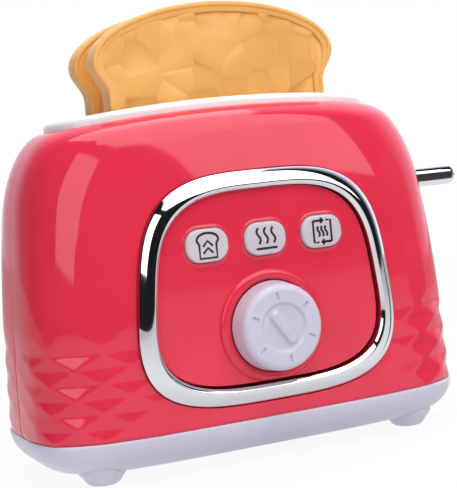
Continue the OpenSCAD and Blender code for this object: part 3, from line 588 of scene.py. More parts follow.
# %% [markdown]
# The front carries a big opening for the panel, shaped like a soft trapezium, and a seat behind it on
# which the chrome frame rests. On the right, both halves share a tall slot in which the lever slides.
# The rear half has four deep wells for the screws that pull the halves together.

# %% Openings of the housing
BEZEL_W = 116.6
BEZEL_H = 97.4
BEZEL_Z = 75.6
BEZEL_SQUARE = 3.4
BEZEL_TAPER = 0.09
BEZEL_SEAT = BODY_D / 2 - 2.4
BEZEL_STEPS = 288
COLLAR_BACK = BEZEL_SEAT - 3.8
OPENING_GAP = 0.5
OPENING_CUT = (30, 70)
SEAT_LINE = [(-0.1, BEZEL_SEAT), (-2.6, COLLAR_BACK), (3, COLLAR_BACK), (3, BEZEL_SEAT)]
LEVER_Z = 111.9
LEVER_TRAVEL = 42.0
LEVER_DIA = 10.0
SLOT_HALF = LEVER_DIA / 2 + 0.6
SLOT_SIZE = (2 * SLOT_HALF, LEVER_TRAVEL + 2 * SLOT_HALF, SLOT_HALF - 0.01)
SLOT_MID = LEVER_Z - LEVER_TRAVEL / 2
SLOT_CUT = (84, 112)
REAR_SCREWS = [(84.0, 45.0), (82.0, 128.0)]
WELL_R = 3.3
WELL_SPAN = (16.0, 60)
POST_R = WELL_R + 1.6
POST_FLOOR = 14.0
DRUM_STEPS = 40


def bezel_loops(profile):
    outline = [plan_point(a, 1, 1, BEZEL_SQUARE) for a in turns(BEZEL_STEPS)]
    loops = []
    for inset, depth in profile:
        w = BEZEL_W / 2 - inset
        h = BEZEL_H / 2 - inset
        loops.append([(u * w * (1 - BEZEL_TAPER * v), -depth, BEZEL_Z + v * h) for u, v in outline])
    return loops


def drum(name, x, z, r, low, high):
    return sweep(name, lathe([(r, low), (r, high)], lambda u, v, h: (x + u, h, z + v), DRUM_STEPS))


def plan_y(x, z):
    e = squareness(z)
    return half_d(z, 0) * (1 - (x / half_w(z, 0)) ** e) ** (1 / e)


opening = sweep("cut_opening", bezel_loops([(-OPENING_GAP, depth) for depth in OPENING_CUT]))
combine(front_shell, opening, "DIFFERENCE")
join(front_shell, sweep("seat", bezel_loops(SEAT_LINE), ring=True))
for shell in (front_shell, rear_shell):
    loops = pill_loops(SLOT_SIZE, [(0, x) for x in SLOT_CUT], lambda u, v, h: (h, u, SLOT_MID + v))
    combine(shell, sweep("cut_slot", loops), "DIFFERENCE")
for x, z in REAR_SCREWS:
    post_end = plan_y(x + POST_R, z) - WALL / 2
    for side in (-1, 1):
        combine(rear_shell, drum("post", side * x, z, POST_R, POST_FLOOR, post_end), "UNION")
        combine(rear_shell, drum("cut_well", side * x, z, WELL_R, *WELL_SPAN), "DIFFERENCE")
for shell, node in ((front_shell, "front_shell"), (rear_shell, "rear_shell")):
    shade(shell)
    dress(shell, "housing", node, red)

# %% [markdown]
# The pale base is a shallow tray. Its side tucks under in a quarter of an ellipse, so the toy seems to
# float over its shadow, and four soft-edged feet lift it off the table. A thin open joint separates it
# from the red housing, and a lip behind the joint locates the two.

# %% The base tray
FLOOR_Z = 5.0
BASE_TUCK = 16.0
TRAY_STEPS = 240
TUCK_STEPS = 14
EDGE_Z = SEAM_Z - 0.6
LIP_TOP = SEAM_Z + 3
LIP_INSET = 3.1
LIP_BACK = LIP_INSET + 1.6
RIM_LINE = [(0.14, SEAM_Z - 0.35), (0.5, SEAM_Z - SEAM_GAP), (LIP_INSET, SEAM_Z - SEAM_GAP),
            (LIP_INSET, LIP_TOP), (LIP_BACK, LIP_TOP)]
FOOT_AT = (74.0, 26.5)
FOOT_LINE = [(3.5, 0.0), (5.0, 0.1), (6.2, 0.45), (7.1, 1.1), (7.9, 2.2), (8.8, 3.5),
             (9.8, FLOOR_Z - 0.3), (10.4, FLOOR_Z + 0.6), (11.0, FLOOR_Z + 1.6), (11.0, FLOOR_Z + 3.4)]
FOOT_STEPS = 48
BASE_SCREW = (84.0, 16.0)
BOSS_LINE = [(5.0, FLOOR_Z + 1), (5.0, SEAM_Z)]
WELL_LINE = [(WELL_R, -1), (WELL_R, SEAM_Z - 9.5)]


def tray_profile(inset, lift):
    profile = []
    for a in np.linspace(0, pi / 2, TUCK_STEPS + 1):
        z = FLOOR_Z + lift + (SEAM_Z - FLOOR_Z - lift) * (1 - cos(a))
        profile.append((BASE_TUCK * (1 - sin(a)) + inset, min(z, EDGE_Z)))
    return profile


tray_line = tray_profile(0, 0) + RIM_LINE + tray_profile(LIP_BACK, WALL)[::-1]
tray_loops = plan_loops(tray_line, BODY_W, BODY_D, SQUARE_LOW, turns(TRAY_STEPS))
base = sweep("base_tray_moulding", tray_loops)
for sx, sy in ((-1, -1), (-1, 1), (1, -1), (1, 1)):
    foot_at = standing(sx * FOOT_AT[0], sy * FOOT_AT[1])
    screw_at = standing(sx * BASE_SCREW[0], sy * BASE_SCREW[1])
    combine(base, sweep("foot", lathe(FOOT_LINE, foot_at, FOOT_STEPS)), "UNION")
    combine(base, sweep("boss", lathe(BOSS_LINE, screw_at, DRUM_STEPS)), "UNION")
    combine(base, sweep("cut_well", lathe(WELL_LINE, screw_at, DRUM_STEPS)), "DIFFERENCE")
shade(base)
dress(base, "housing", "base_tray", white)

# %% [markdown]
# The white top plate fills the crown's opening and stands a little proud of it. Two long slots take
# the bread. The plate is drawn flat, with a soft outer edge and soft slot edges, then cut into narrow
# strips and bent to the same shallow arch as the crown.

# %% The top plate
PLATE_TOP = CREST_Z + 4.0
PLATE_T = 2.2
PLATE_EDGE = 2.5
PLATE_DEEP = 10.5
PLATE_STEP = 0.2
ARCH_R = (PLATE_L ** 2 / 4 + CROWN_DROP ** 2) / (2 * CROWN_DROP)
TOAST_PITCH = 25.8
BREAD_SLOT = (117.0, 12.1, 1.6)
SLOT_EDGE = 0.9
SLOT_STEPS = 6
STRIP = 3.0


def add_rings(bm, loops):
    rings = [[bm.verts.new(in_frame(p)) for p in loop] for loop in loops]
    for low, high in zip(rings, rings[1:]):
        for k in range(len(low)):
            n = (k + 1) % len(low)
            bm.faces.new((low[k], low[n], high[n], high[k]))
    return rings


def ring_edges(bm, ring):
    pairs = zip(ring, ring[1:] + ring[:1])
    return [bm.edges.get(pair) or bm.edges.new(pair) for pair in pairs]


def plate_mesh(name, outside, holes, normal):
    piece = add_object(name, bpy.data.meshes.new(name))
    with edited(piece) as bm:
        outer_rings = add_rings(bm, outside)
        hole_rings = [add_rings(bm, loops) for loops in holes]
        for outer_end, hole_end in ((-1, 0), (0, -1)):
            edges = ring_edges(bm, outer_rings[outer_end])
            for rings in hole_rings:
                edges += ring_edges(bm, rings[hole_end])
            bmesh.ops.triangle_fill(bm, use_beauty=True, edges=edges, normal=normal)
    tidy(piece)
    return piece


half_turn = [column_angle(c) for c in np.arange(0, COLUMNS, PLATE_STEP)]
round_turn = half_turn + [pi + a for a in half_turn]
plate_drops = [(WALL, PLATE_T), (WALL, PLATE_DEEP), (0, PLATE_DEEP)] + soft_edge(PLATE_EDGE)
plate_line = [(inset, PLATE_TOP - drop) for inset, drop in plate_drops]
plate_outside = plan_loops(plate_line, PLATE_L, PLATE_D, SQUARE_HIGH, round_turn)
slot_line = [(grow, PLATE_TOP - drop) for grow, drop in soft_edge(SLOT_EDGE)[::-1] + [(0, PLATE_T)]]
plate_holes = [pill_loops(BREAD_SLOT, slot_line, standing(0, side * TOAST_PITCH / 2), SLOT_STEPS)
               for side in (-1, 1)]
top_plate = plate_mesh("top_plate_moulding", plate_outside, plate_holes, (0, 0, 1))
with edited(top_plate) as bm:
    for x in np.arange(-PLATE_L / 2 + STRIP, PLATE_L / 2, STRIP):
        everything = bm.verts[:] + bm.edges[:] + bm.faces[:]
        bmesh.ops.bisect_plane(bm, geom=everything, plane_co=in_frame((x, 0, 0)), plane_no=(1, 0, 0))
    for vert in bm.verts:
        x = (vert.co.x - BODY_X) / MM
        vert.co.z -= (ARCH_R - sqrt(ARCH_R ** 2 - x ** 2)) * MM
shade(top_plate)
dress(top_plate, "housing", "top_plate", plate_white)

# %% [markdown]
# The chrome frame is a band that is steep at its outer edge and grows flatter towards its crest, then
# turns over quickly into a narrow lip that falls to the panel. Where the band is steep it mirrors the
# strip light and where it is flat the dark studio: that gives the thin black and white lines of the
# real frame, so they are shaped and not painted.

# %% The chrome frame
BAND = 7.4
CREST_IN = 5.7
CREST_ROUND = 0.5
RISE = 5.4
TILT_AT = (0.0, 0.07, 0.42, 1.0)
TILTS = (56.0, 45.0, 31.0, 4.0)
LIP_TILT = -36.0
LIP_EDGE = (0.1, 0.15)
BAND_STEPS = 36
ROUND_STEPS = 8

crest_insets = CREST_IN + np.linspace(0, CREST_ROUND, ROUND_STEPS + 1)[1:]
insets = np.concatenate([np.linspace(0, CREST_IN, BAND_STEPS + 1), crest_insets, [BAND - LIP_EDGE[0]]])
tilt_stops = [CREST_IN * share for share in TILT_AT] + [CREST_IN + CREST_ROUND]
tilts = np.interp((insets[1:] + insets[:-1]) / 2, tilt_stops, TILTS + (LIP_TILT,))
rises = np.concatenate([[0.0], np.cumsum(np.diff(insets) * np.tan(np.radians(tilts)))])
rises += RISE - rises.max()
frame_line = [(0.0, 0.0)] + [(float(i), float(h)) for i, h in zip(insets, rises)]
frame_line += [(BAND, frame_line[-1][1] - LIP_EDGE[1]), (BAND, 0.0)]
bezel = sweep("chrome_frame", bezel_loops([(i, BEZEL_SEAT + h) for i, h in frame_line]), ring=True)
shade(bezel, 30)
dress(bezel, "housing", "bezel_ring", chrome)

# %% [markdown]
# Inside the frame sits the red panel, a little below the frame's lip. Its edge is softly rounded, each
# button hole has a low raised lip, and a raised ring surrounds the knob. The ring's lower end runs out
# at the panel's edge. A hidden flange behind the housing's seat holds the panel in.

# %% The control panel
PANEL_Y = BODY_D / 2 - 0.3
PANEL_T = 2.2
PANEL_INSET = BAND + 0.55
PANEL_SHIFT = (-0.4, 0.4)
PANEL_EDGE = 0.5
FLAT_MARGIN = 0.4
FLANGE_OUT = 1.5
BACK_LINE = [(PANEL_INSET + PANEL_T, PANEL_Y - PANEL_T), (PANEL_INSET + PANEL_T, COLLAR_BACK - PANEL_T),
             (-FLANGE_OUT, COLLAR_BACK - PANEL_T), (-FLANGE_OUT, COLLAR_BACK), (PANEL_INSET, COLLAR_BACK)]
BUTTON_PITCH = 26.7
BUTTON_Z = 95.3
BUTTON = (19.0, 14.0, 6.2)
BUTTON_GAP = 0.2
LIP_LINE = [(2.0, 0.0), (1.6, 0.0), (1.25, 0.1), (0.95, 0.34), (0.7, 0.48), (0.45, 0.5), (0.26, 0.4),
            (0.2, 0.2), (BUTTON_GAP, -PANEL_T)]
KNOB_Z = 58.3
RING_R = 23.8
RING_W = 4.3
RING_RISE = 1.9
RING_SKIRT = (0.5, 0.4)
RING_SPREAD = 0.3
RING_FULLNESS = 0.8
RING_STEPS = 120
RING_ARCH = 12
PRISM_LINE = [(PANEL_INSET + 1.0, 30), (PANEL_INSET + 1.0, 60)]
ARBOR_HOLE = (3.05, -60, -30)

front_line = [(PANEL_INSET + i, PANEL_Y - d) for i, d in soft_edge(PANEL_EDGE)]
front_line.append((PANEL_INSET + PANEL_EDGE + FLAT_MARGIN, PANEL_Y))
panel_outside = bezel_loops(BACK_LINE)
for loop in bezel_loops(front_line):
    panel_outside.append([(x + PANEL_SHIFT[0], y, z + PANEL_SHIFT[1]) for x, y, z in loop])
hole_line = [(grow, PANEL_Y + rise) for grow, rise in LIP_LINE]
panel_holes = [pill_loops(BUTTON, hole_line, facing(i * BUTTON_PITCH, BUTTON_Z)) for i in (-1, 0, 1)]
panel = plate_mesh("panel_moulding", panel_outside, panel_holes, (0, -1, 0))

ring_in = RING_R - RING_W - RING_SKIRT[0]
ring_out = RING_R + RING_SKIRT[1]
ring_line = [(ring_in, PANEL_Y - 1), (ring_in, PANEL_Y)]
for k in range(RING_ARCH + 1):
    a = pi * k / RING_ARCH
    ring_line.append((RING_R - RING_W / 2 - (RING_W / 2 + RING_SPREAD) * cos(a),
                      PANEL_Y + RING_RISE * sin(a) ** RING_FULLNESS))
ring_line += [(ring_out, PANEL_Y), (ring_out, PANEL_Y - 1)]
knob_place = facing(0, KNOB_Z)
ring = sweep("knob_ring", lathe(ring_line, knob_place, RING_STEPS), ring=True)
combine(ring, sweep("panel_prism", bezel_loops(PRISM_LINE)), "INTERSECT")
combine(panel, ring, "UNION")
combine(panel, drum("cut_arbor", 0, KNOB_Z, *ARBOR_HOLE), "DIFFERENCE")
shade(panel, 32)
dress(panel, "housing", "control_panel", red)

# %% [markdown]
# The three buttons are soft pills with a nearly flat face. Each carries a small black pictogram of what
# it would do: lift a slice, warm it, or thaw it. The pictograms are drawn here from a few strokes, as
# thin raised ink, and ride on their button when it is pressed.

# %% The buttons
BUTTON_FACE = PANEL_Y + 2.2
BUTTON_BACK = PANEL_Y - PANEL_T - 1.6
BUTTON_LINE = [(1.2, BUTTON_BACK), (1.2, BUTTON_BACK + 1.5), (0, BUTTON_BACK + 1.5),
               (0, BUTTON_FACE - 1.1), (-0.1, BUTTON_FACE - 0.65), (-0.35, BUTTON_FACE - 0.3),
               (-0.75, BUTTON_FACE - 0.1), (-1.3, BUTTON_FACE - 0.02), (-2.2, BUTTON_FACE),
               (-3.4, BUTTON_FACE)]
STROKE = 1.0
INK_RISE = 0.05
INK_DEPTH = 0.3
WAVE_STEPS = 16


def stroke(line, closed):
    line = [np.array(p, float) for p in line]
    count = len(line)
    points = []
    for k in range(count):
        before = line[k - 1] if closed or k else line[k]
        after = line[(k + 1) % count] if closed or k < count - 1 else line[k]
        along = (after - before) / np.linalg.norm(after - before)
        across = np.array((-along[1], along[0])) * STROKE / 2
        for side in (line[k] + across, line[k] - across):
            points += [(side[0], 0.0, side[1]), (side[0], 1.0, side[1])]
    faces = []
    for k in range(count if closed else count - 1):
        a = 4 * k
        b = 4 * ((k + 1) % count)
        faces += [(a, b, b + 1, a + 1), (a + 2, a + 3, b + 3, b + 2)]
        faces += [(a, a + 2, b + 2, b), (a + 1, b + 1, b + 3, a + 3)]
    if not closed:
        end = 4 * (count - 1)
        faces += [(0, 1, 3, 2), (end, end + 2, end + 3, end + 1)]
    return points, faces


def wave(x, low, high, reach):
    return [(x + reach * sin(a), low + (high - low) * a / (2 * pi))
            for a in turns(WAVE_STEPS) + [2 * pi]]


def slice_outline(w, h, z):
    body = [(-0.4 * w, z), (0.4 * w, z), (0.4 * w, z + 0.56 * h)]
    lobes = [(0.5 * w * cos(a), z + 0.74 * h + 0.26 * h * sin(a))
             for a in np.linspace(-0.35, pi + 0.35, 17)]
    return body + lobes + [(-0.4 * w, z + 0.56 * h)]


def chevron(z, half):
    return [(-half, z - half), (0, z), (half, z - half)]


OUTLINES = {"left": [slice_outline(9.6, 10.4, -5.2)], "middle": [], "right": []}
STROKES = {"left": [chevron(1.9, 2.2), chevron(-1.0, 2.2)],
           "middle": [wave(x, -2.2, 4.6, 0.8) for x in (-3.4, 0, 3.4)] + [[(-4.9, -4.2), (4.9, -4.2)]],
           "right": [wave(x, -2.2, 2.2, 0.5) for x in (-1.8, 0, 1.8)]}
THAW_ARROW = ([(1.9, 4.6), (4.2, 4.6), (4.2, -4.6), (1.4, -4.6)], [(-0.7, 5.7), (0.6, 4.6), (-0.7, 3.5)],
              [(-4.2, 4.6), (0.4, 4.6)])
for way in (-1, 1):
    STROKES["right"] += [[(way * x, way * z) for x, z in line] for line in THAW_ARROW]


def pictogram(name, place):
    points = []
    faces = []
    for line in OUTLINES[name] + STROKES[name]:
        part, sides = stroke(line, line in OUTLINES[name])
        faces += [tuple(len(points) + v for v in side) for side in sides]
        points += [place(x, z, BUTTON_FACE - INK_DEPTH + h * (INK_DEPTH + INK_RISE)) for x, h, z in part]
    return solid("ink_" + name, points, faces)


for i, name in enumerate(STROKES, -1):
    place = facing(i * BUTTON_PITCH, BUTTON_Z)
    button = sweep("button_" + name + "_cap", pill_loops(BUTTON, BUTTON_LINE, place))
    shade(button)
    dress(button, name + "_button", "button_" + name, button_grey)
    mark = pictogram(name, place)
    shade(mark, 30)
    dress(mark, name + "_button", None, ink)

# %% [markdown]
# The timer knob is a turned shape: a slightly tapered drum with a generous rounded front edge, a shallow
# dish in its face, and six short engraved marks round the dish. A rounded bar across the dish is the
# grip and the pointer.

# %% The knob
KNOB_BACK = PANEL_Y + 1.3
KNOB_FRONT = KNOB_BACK + 10.6
KNOB_R = 19.1
KNOB_TAPER = 0.8
KNOB_FILLET = 3.2
FILLET_STEPS = 10
KNOB_BORE = 3.02
KNOB_STEPS = 128
DISH = 1.1
DISH_R = 10.1
DISH_LINE = [(1.1, 0), (0.7, 0), (0.3, -0.15), (0, -0.5), (-0.3, -0.85), (-0.7, -DISH), (-1.1, -DISH),
             (0.4 - DISH_R, -DISH)]
POINTER = (17.0, 5.0, 2.48)
POINTER_TURN = 125.0
POINTER_LINE = [(0.5, -DISH - 0.5), (0.5, -DISH), (0.1, -DISH + 0.2), (-0.15, -0.4), (-0.4, 0.1),
                (-0.8, 0.4), (-1.3, 0.55), (-1.9, 0.6)]
POINTER_STEPS = 10
TICKS = 6
TICK = (3.0, 1.2, 0.25)
TICK_LINE = ((-0.1, -0.7), (0.0, -0.55), (0.05, 0.5))
TICK_OUT = 0.9
TICK_TURN = 98.0
TICK_STEPS = 3


def on_face(degrees, out=0):
    c = cos(radians(degrees))
    s = sin(radians(degrees))
    return lambda u, v, h: knob_place((u + out) * c - v * s, (u + out) * s + v * c, KNOB_FRONT + h)


flat_r = KNOB_R - KNOB_TAPER - KNOB_FILLET
knob_line = [(KNOB_BORE, KNOB_BACK), (KNOB_R - 0.3, KNOB_BACK), (KNOB_R, KNOB_BACK + 0.3)]
knob_line += arc((flat_r, KNOB_FRONT - KNOB_FILLET), KNOB_FILLET, 0, 90, FILLET_STEPS)
knob_line += [(DISH_R + out, KNOB_FRONT + rise) for out, rise in DISH_LINE]
knob = sweep("knob_cap", lathe(knob_line, knob_place, KNOB_STEPS))
pointer_loops = pill_loops(POINTER, POINTER_LINE, on_face(POINTER_TURN), POINTER_STEPS)
combine(knob, sweep("pointer", pointer_loops), "UNION")
for k in range(TICKS):
    place = on_face(TICK_TURN - 360 * k / TICKS, (DISH_R + flat_r) / 2 + TICK_OUT)
    loops = []
    for grow, rise in TICK_LINE:
        line = pill_outline(TICK[0] + 2 * grow, TICK[1] + 2 * grow, TICK[2], TICK_STEPS)
        loops.append([place(u, v, rise) for u, v in line])
    combine(knob, sweep("cut_tick", loops), "DIFFERENCE")
shade(knob, 35)
dress(knob, "timer_knob", "knob", white)

# %% [markdown]
# The lever's handle is a chrome stub with a rounded end. It is turned about its long axis, with a small
# shoulder where it meets the stem inside the slot.

# %% The lever
LEVER_START = BODY_W / 2 + 0.5
LEVER_L = 26.3
LEVER_STEPS = 64
TIP_R = 3.8
TIP_STEPS = 12

lever_r = LEVER_DIA / 2
tip = LEVER_START + LEVER_L
lever_line = [(lever_r - 0.6, LEVER_START - 2.0), (lever_r, LEVER_START - 1.4), (lever_r, LEVER_START + 6),
              (lever_r, tip - TIP_R - 6)]
lever_line += arc((lever_r - TIP_R, tip - TIP_R), TIP_R, 0, 90, TIP_STEPS) + [(0.3, tip + 0.02)]
lever = sweep("lever_grip", lathe(lever_line, lambda u, v, h: (h, u, LEVER_Z + v), LEVER_STEPS))
shade(lever)
dress(lever, "lift", "lever_handle", chrome)

# %% [markdown]
# A slice of toy toast is one hollow-looking plastic slab: a raised crust runs round both faces, and the
# crumb lies a little lower inside it. The crust has two steps, a proud outer band and a lower inner one,
# with a sharp line between them.

# %% The outline and the crust of a slice
TOAST_T = 9.5
TOAST_W = 102.7
TOAST_BULGE_W = 114.4
TOAST_DOME_H = 23.7
TOAST_NECK_H = 14.0
TOAST_CORNER_R = 8.0
TOAST_TOP = 198.7
TOAST_LOW = 100.7
CORNER_STEPS = 8
NECK_STEPS = 12
DOME_STEPS = 24
CRUST_W = 4.6
CRUMB_STEP = 0.8
RECESS = 1.6
CRUST_LINE = [(0.0, 0.25), (0.0, 3.5), (0.1, 4.15), (0.4, 4.58), (0.9, 4.75), (1.6, 4.75), (1.95, 4.66),
              (2.15, 4.42), (2.3, 4.2), (2.55, 4.15), (3.3, 4.18), (4.1, 4.1),
              (CRUST_W, TOAST_T / 2 - CRUMB_STEP), (CRUST_W + 0.03, RECESS)]


def toast_outline(inset):
    bulge_z = TOAST_TOP - TOAST_DOME_H
    low = TOAST_LOW + inset
    half = TOAST_W / 2 - inset
    wide = TOAST_BULGE_W / 2 - inset
    r = TOAST_CORNER_R
    right = [(half - r + r * sin(a), low + r - r * cos(a))
             for a in np.linspace(0, pi / 2, CORNER_STEPS + 1)]
    for k in range(NECK_STEPS + 1):
        ease = (1 - cos(pi * k / NECK_STEPS)) / 2
        right.append((half + (wide - half) * ease, bulge_z - TOAST_NECK_H * (1 - k / NECK_STEPS)))
    for k in range(1, DOME_STEPS):
        a = pi * k / (2 * DOME_STEPS)
        right.append((wide * cos(a), bulge_z + (TOAST_DOME_H - inset) * sin(a)))
    return right + [(0, TOAST_TOP - inset)] + [(-x, z) for x, z in reversed(right)]


def toast_slab(name, y):
    line = [(i, y - d) for i, d in reversed(CRUST_LINE)] + [(i, y + d) for i, d in CRUST_LINE]
    return sweep(name, [[(x, depth, z) for x, z in toast_outline(inset)] for inset, depth in line])


print("outline points of a slice:", len(toast_outline(0)))

# %% [markdown]
# The crumb looks like broken bread: a level ground with scattered dents that have straight edges. The
# dents are cells of a Voronoi diagram, the shapes that arise when every point belongs to its nearest
# seed. Each dent is deepest at its upper left, so its floor faces the light and runs out to the ground
# at the lower right.

# %% The crumb
CELL = (14.5, 11.0)
CELL_JITTER = 0.45
FLOOR_TILT = (0.06, 0.14)
SIDE_TILT = (-0.03, 0.08)
FLAT_SHARE = 0.45
CREASE_W = 0.95
DEEPEST = 1.5
CELL_ROWS = range(-1, 12)
CELL_COLUMNS = range(-6, 7)
SHEET_LAP = 0.05
SKIRT = 0.4
SAME_PLACE = 1e-5


def crumb_cells(rng):
    cells = []
    for row in CELL_ROWS:
        for column in CELL_COLUMNS:
            x = CELL[0] * (column + row % 2 / 2 + rng.uniform(-CELL_JITTER, CELL_JITTER))
            z = TOAST_LOW + CELL[1] * (row + rng.uniform(-CELL_JITTER, CELL_JITTER))
            fall = np.array((-rng.uniform(*SIDE_TILT), rng.uniform(*FLOOR_TILT)))
            cells.append((np.array((x, z)), fall * (rng.random() > FLAT_SHARE)))
    return cells


def clip(polygon, normal, limit):
    kept = []
    for k, point in enumerate(polygon):
        after = polygon[(k + 1) % len(polygon)]
        here = point @ normal - limit
        there = after @ normal - limit
        if here <= 0:
            kept.append(point)
        if here * there < 0:
            kept.append(point + (after - point) * here / (here - there))
    return kept


def crumb_patches(cells, outline):
    patches = []
    for seed, fall in cells:
        polygon = outline
        for other, _ in cells:
            if other is not seed and polygon:
                polygon = clip(polygon, other - seed, (other @ other - seed @ seed) / 2)
        if len(polygon) > 2:
            lift = [point @ fall for point in polygon]
            share = min(1.0, DEEPEST / max(max(lift) - min(lift), 1e-6))
            patches.append((seed, polygon, fall * share, min(lift) * share))
    return patches


def crease_depth(patches, point):
    reach = np.array([np.linalg.norm(point - patch[0]) for patch in patches])
    close = [patches[k] for k in np.flatnonzero(reach < reach.min() + SAME_PLACE)]
    return sum(point @ fall - low for _, _, fall, low in close) / len(close)


def crumb_sheet(y, side, seed):
    outline = [np.array(p) for p in toast_outline(CRUST_W - SHEET_LAP)]
    patches = crumb_patches(crumb_cells(random.Random(seed)), outline)
    ground = TOAST_T / 2 - CRUMB_STEP
    points = []
    faces = []
    for _, polygon, fall, low in patches:
        middle = sum(polygon) / len(polygon)
        first = len(points)
        count = len(polygon)
        for point in polygon:
            points.append((point[0], y + side * (ground - crease_depth(patches, point)), point[1]))
        for point in polygon:
            reach = max(np.linalg.norm(middle - point), CREASE_W * 1.5)
            inset = point + (middle - point) * CREASE_W / reach
            points.append((inset[0], y + side * (ground - (inset @ fall - low)), inset[1]))
        for k in range(count):
            n = (k + 1) % count
            faces.append((first + k, first + n, first + count + n, first + count + k))
        faces.append(tuple(range(first + count, first + 2 * count)))
    sheet = solid("crumb", points, faces)
    with edited(sheet) as bm:
        skirt = bmesh.ops.extrude_edge_only(bm, edges=[e for e in bm.edges if e.is_boundary])["geom"]
        for vert in [v for v in skirt if isinstance(v, bmesh.types.BMVert)]:
            vert.co.y = in_frame((0, y + side * (RECESS - SKIRT), 0))[1]
        bmesh.ops.edgeloop_fill(bm, edges=[e for e in bm.edges if e.is_boundary])
        bmesh.ops.recalc_face_normals(bm, faces=bm.faces)
    return sheet


print("crumb cells of a face:", len(crumb_cells(random.Random(0))))

# %% [markdown]
# The slices are moulded in golden plastic that lets a little light in. A soft mottling of two golds makes
# them look baked. It is worked out from where a point lies, so both slices are mottled in the same way.

# %% The toast's finish and the two slices
TOAST_DARK = (0.90, 0.455, 0.118)
TOAST_LIGHT = (0.96, 0.515, 0.15)
TOAST_CLOUD = 55
TOAST_SKIN = (420, 0.0004, 0.08)
TOAST_LOOK = {"Roughness": 0.34, "IOR": 1.48, "Subsurface Weight": 0.15,
              "Subsurface Radius": (0.004, 0.002, 0.001)}

toast_gold, toast_tree, toast_bsdf = shader("toast_gold")
toast_place = cloud_colour(toast_tree, toast_bsdf, TOAST_DARK, TOAST_LIGHT, TOAST_CLOUD)
skin_bump(toast_tree, toast_bsdf, toast_place, *TOAST_SKIN)
set_values(toast_bsdf, TOAST_LOOK)
for name, y, seed in (("front", -TOAST_PITCH / 2, 11), ("rear", TOAST_PITCH / 2, 29)):
    slab = toast_slab("toast_" + name + "_slab", y)
    shade(slab, 28)
    for side in (-1, 1):
        sheet = crumb_sheet(y, side, seed + side)
        shade(sheet, 60)
        join(slab, sheet)
    dress(slab, name + "_slice", "toast_" + name, toast_gold)

# %% [markdown]
# The works inside keep their measured shapes: the carriage, the rods and springs, the clockwork, the
# screws and the bread chutes. They only need the right finish: steel for what is drawn or stamped from
# metal, white for the chutes, plain plastic for the rest.

# %% Finishes of the works inside
STEEL_WORDS = ("screws", "rods", "spring", "timer_", "pin", "arbor")
for name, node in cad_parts.items():
    if node.hide_render:
        continue
    finish = steel if any(word in name for word in STEEL_WORDS) else inner_grey
    coat(node, plate_white if "chute" in name else finish)
    print(name, "in", node.data.materials[0].name)

# %% [markdown]
# The portrait was taken from the front left, a little above the middle of the toy, with a long lens and
# the camera slightly tilted. The place, turn and tilt below are the ones at which the measured points
# of the toy fall where the picture shows them.

# %% The camera
CAMERA_AT = (-244.05, -565.19, 134.31)
YAW = radians(23.74)
PITCH = radians(-4.01)
ROLL = radians(-5.48)
FOCAL_PX = 1363.7
LONG_SIDE_PX = 488.0
SENSOR_W = 36

ahead = Vector((sin(YAW) * cos(PITCH), cos(YAW) * cos(PITCH), sin(PITCH)))
level = Vector((cos(YAW), -sin(YAW), 0))
above = level.cross(ahead)
right_dir = level * cos(ROLL) + above * sin(ROLL)
up_dir = above * cos(ROLL) - level * sin(ROLL)
camera_data = bpy.data.cameras.new("portrait_camera")
camera_data.sensor_width = SENSOR_W
camera_data.lens = FOCAL_PX * SENSOR_W / LONG_SIDE_PX
camera_data.clip_start = 0.01
camera = add_object("portrait_camera", camera_data)
turn = Matrix((right_dir, up_dir, -ahead)).transposed().to_4x4()
camera.matrix_world = Matrix.Translation(in_frame(CAMERA_AT)) @ turn
bpy.context.scene.camera = camera
print("lens in mm:", round(camera_data.lens, 1))

# %% [markdown]
# A glossy toy is lit as much by what it mirrors as by the light that falls on it. Three glowing cards
# make the highlights: a leaning strip at the left, a large card high in front and a fainter one below it
# at the right. Their corners are the directions, as azimuth and elevation, in which the toy sees them.
# A lamp straight above lights the slices and the plate.

# %% The light cards and the lamp above
LOOK_AT = Vector(in_frame((0, 0, 85)))
LIGHT_REACH = 1.6
CARDS = {
    "strip_card": (2.05, [(-54, 43), (-25, 32), (-33, 20), (-37, 11), (-42, 3), (-68, 6), (-66, 14),
                          (-64, 25)]),
    "high_card": (2.7, [(-34, 43), (-16, 33), (3, 25), (14, 21), (25, 19), (46, 22), (52, 45), (68, 70),
                        (10, 76), (-55, 66)]),
    "low_card": (2.1, [(3, 25), (13, 18), (19, 11), (53, 10), (51, 14), (50, 17), (46, 22), (25, 19),
                       (14, 21)]),
}
LAMP_RADIANCE = 2.8
LAMP_SIZE = (1.5, 1.1)


def toward(azimuth, elevation):
    az = radians(azimuth)
    el = radians(elevation)
    return Vector((sin(az) * cos(el), -cos(az) * cos(el), sin(el)))


def stage_sheet(name, corners, material):
    mesh = bpy.data.meshes.new(name)
    mesh.from_pydata(corners, [], [tuple(range(len(corners)))])
    mesh.materials.append(material)
    sheet = add_object(name, mesh)
    return sheet


for name, (radiance, edge) in CARDS.items():
    material, tree, _ = shader(name)
    glow = add_node(tree, "ShaderNodeEmission", {"Strength": radiance})
    wire(tree, (glow, "Emission", tree.nodes["Material Output"], "Surface"))
    card = stage_sheet(name, [LOOK_AT + toward(*place) * LIGHT_REACH for place in edge], material)
    card.visible_camera = False

lamp_data = bpy.data.lights.new("lamp_above", "AREA")
lamp_data.shape = "RECTANGLE"
lamp_data.size, lamp_data.size_y = LAMP_SIZE
lamp_data.energy = LAMP_RADIANCE * pi * lamp_data.size * lamp_data.size_y
lamp = add_object("lamp_above", lamp_data)
lamp.location = LOOK_AT + Vector((0, 0, LIGHT_REACH))
lamp.visible_camera = False
print("light cards:", len(CARDS))
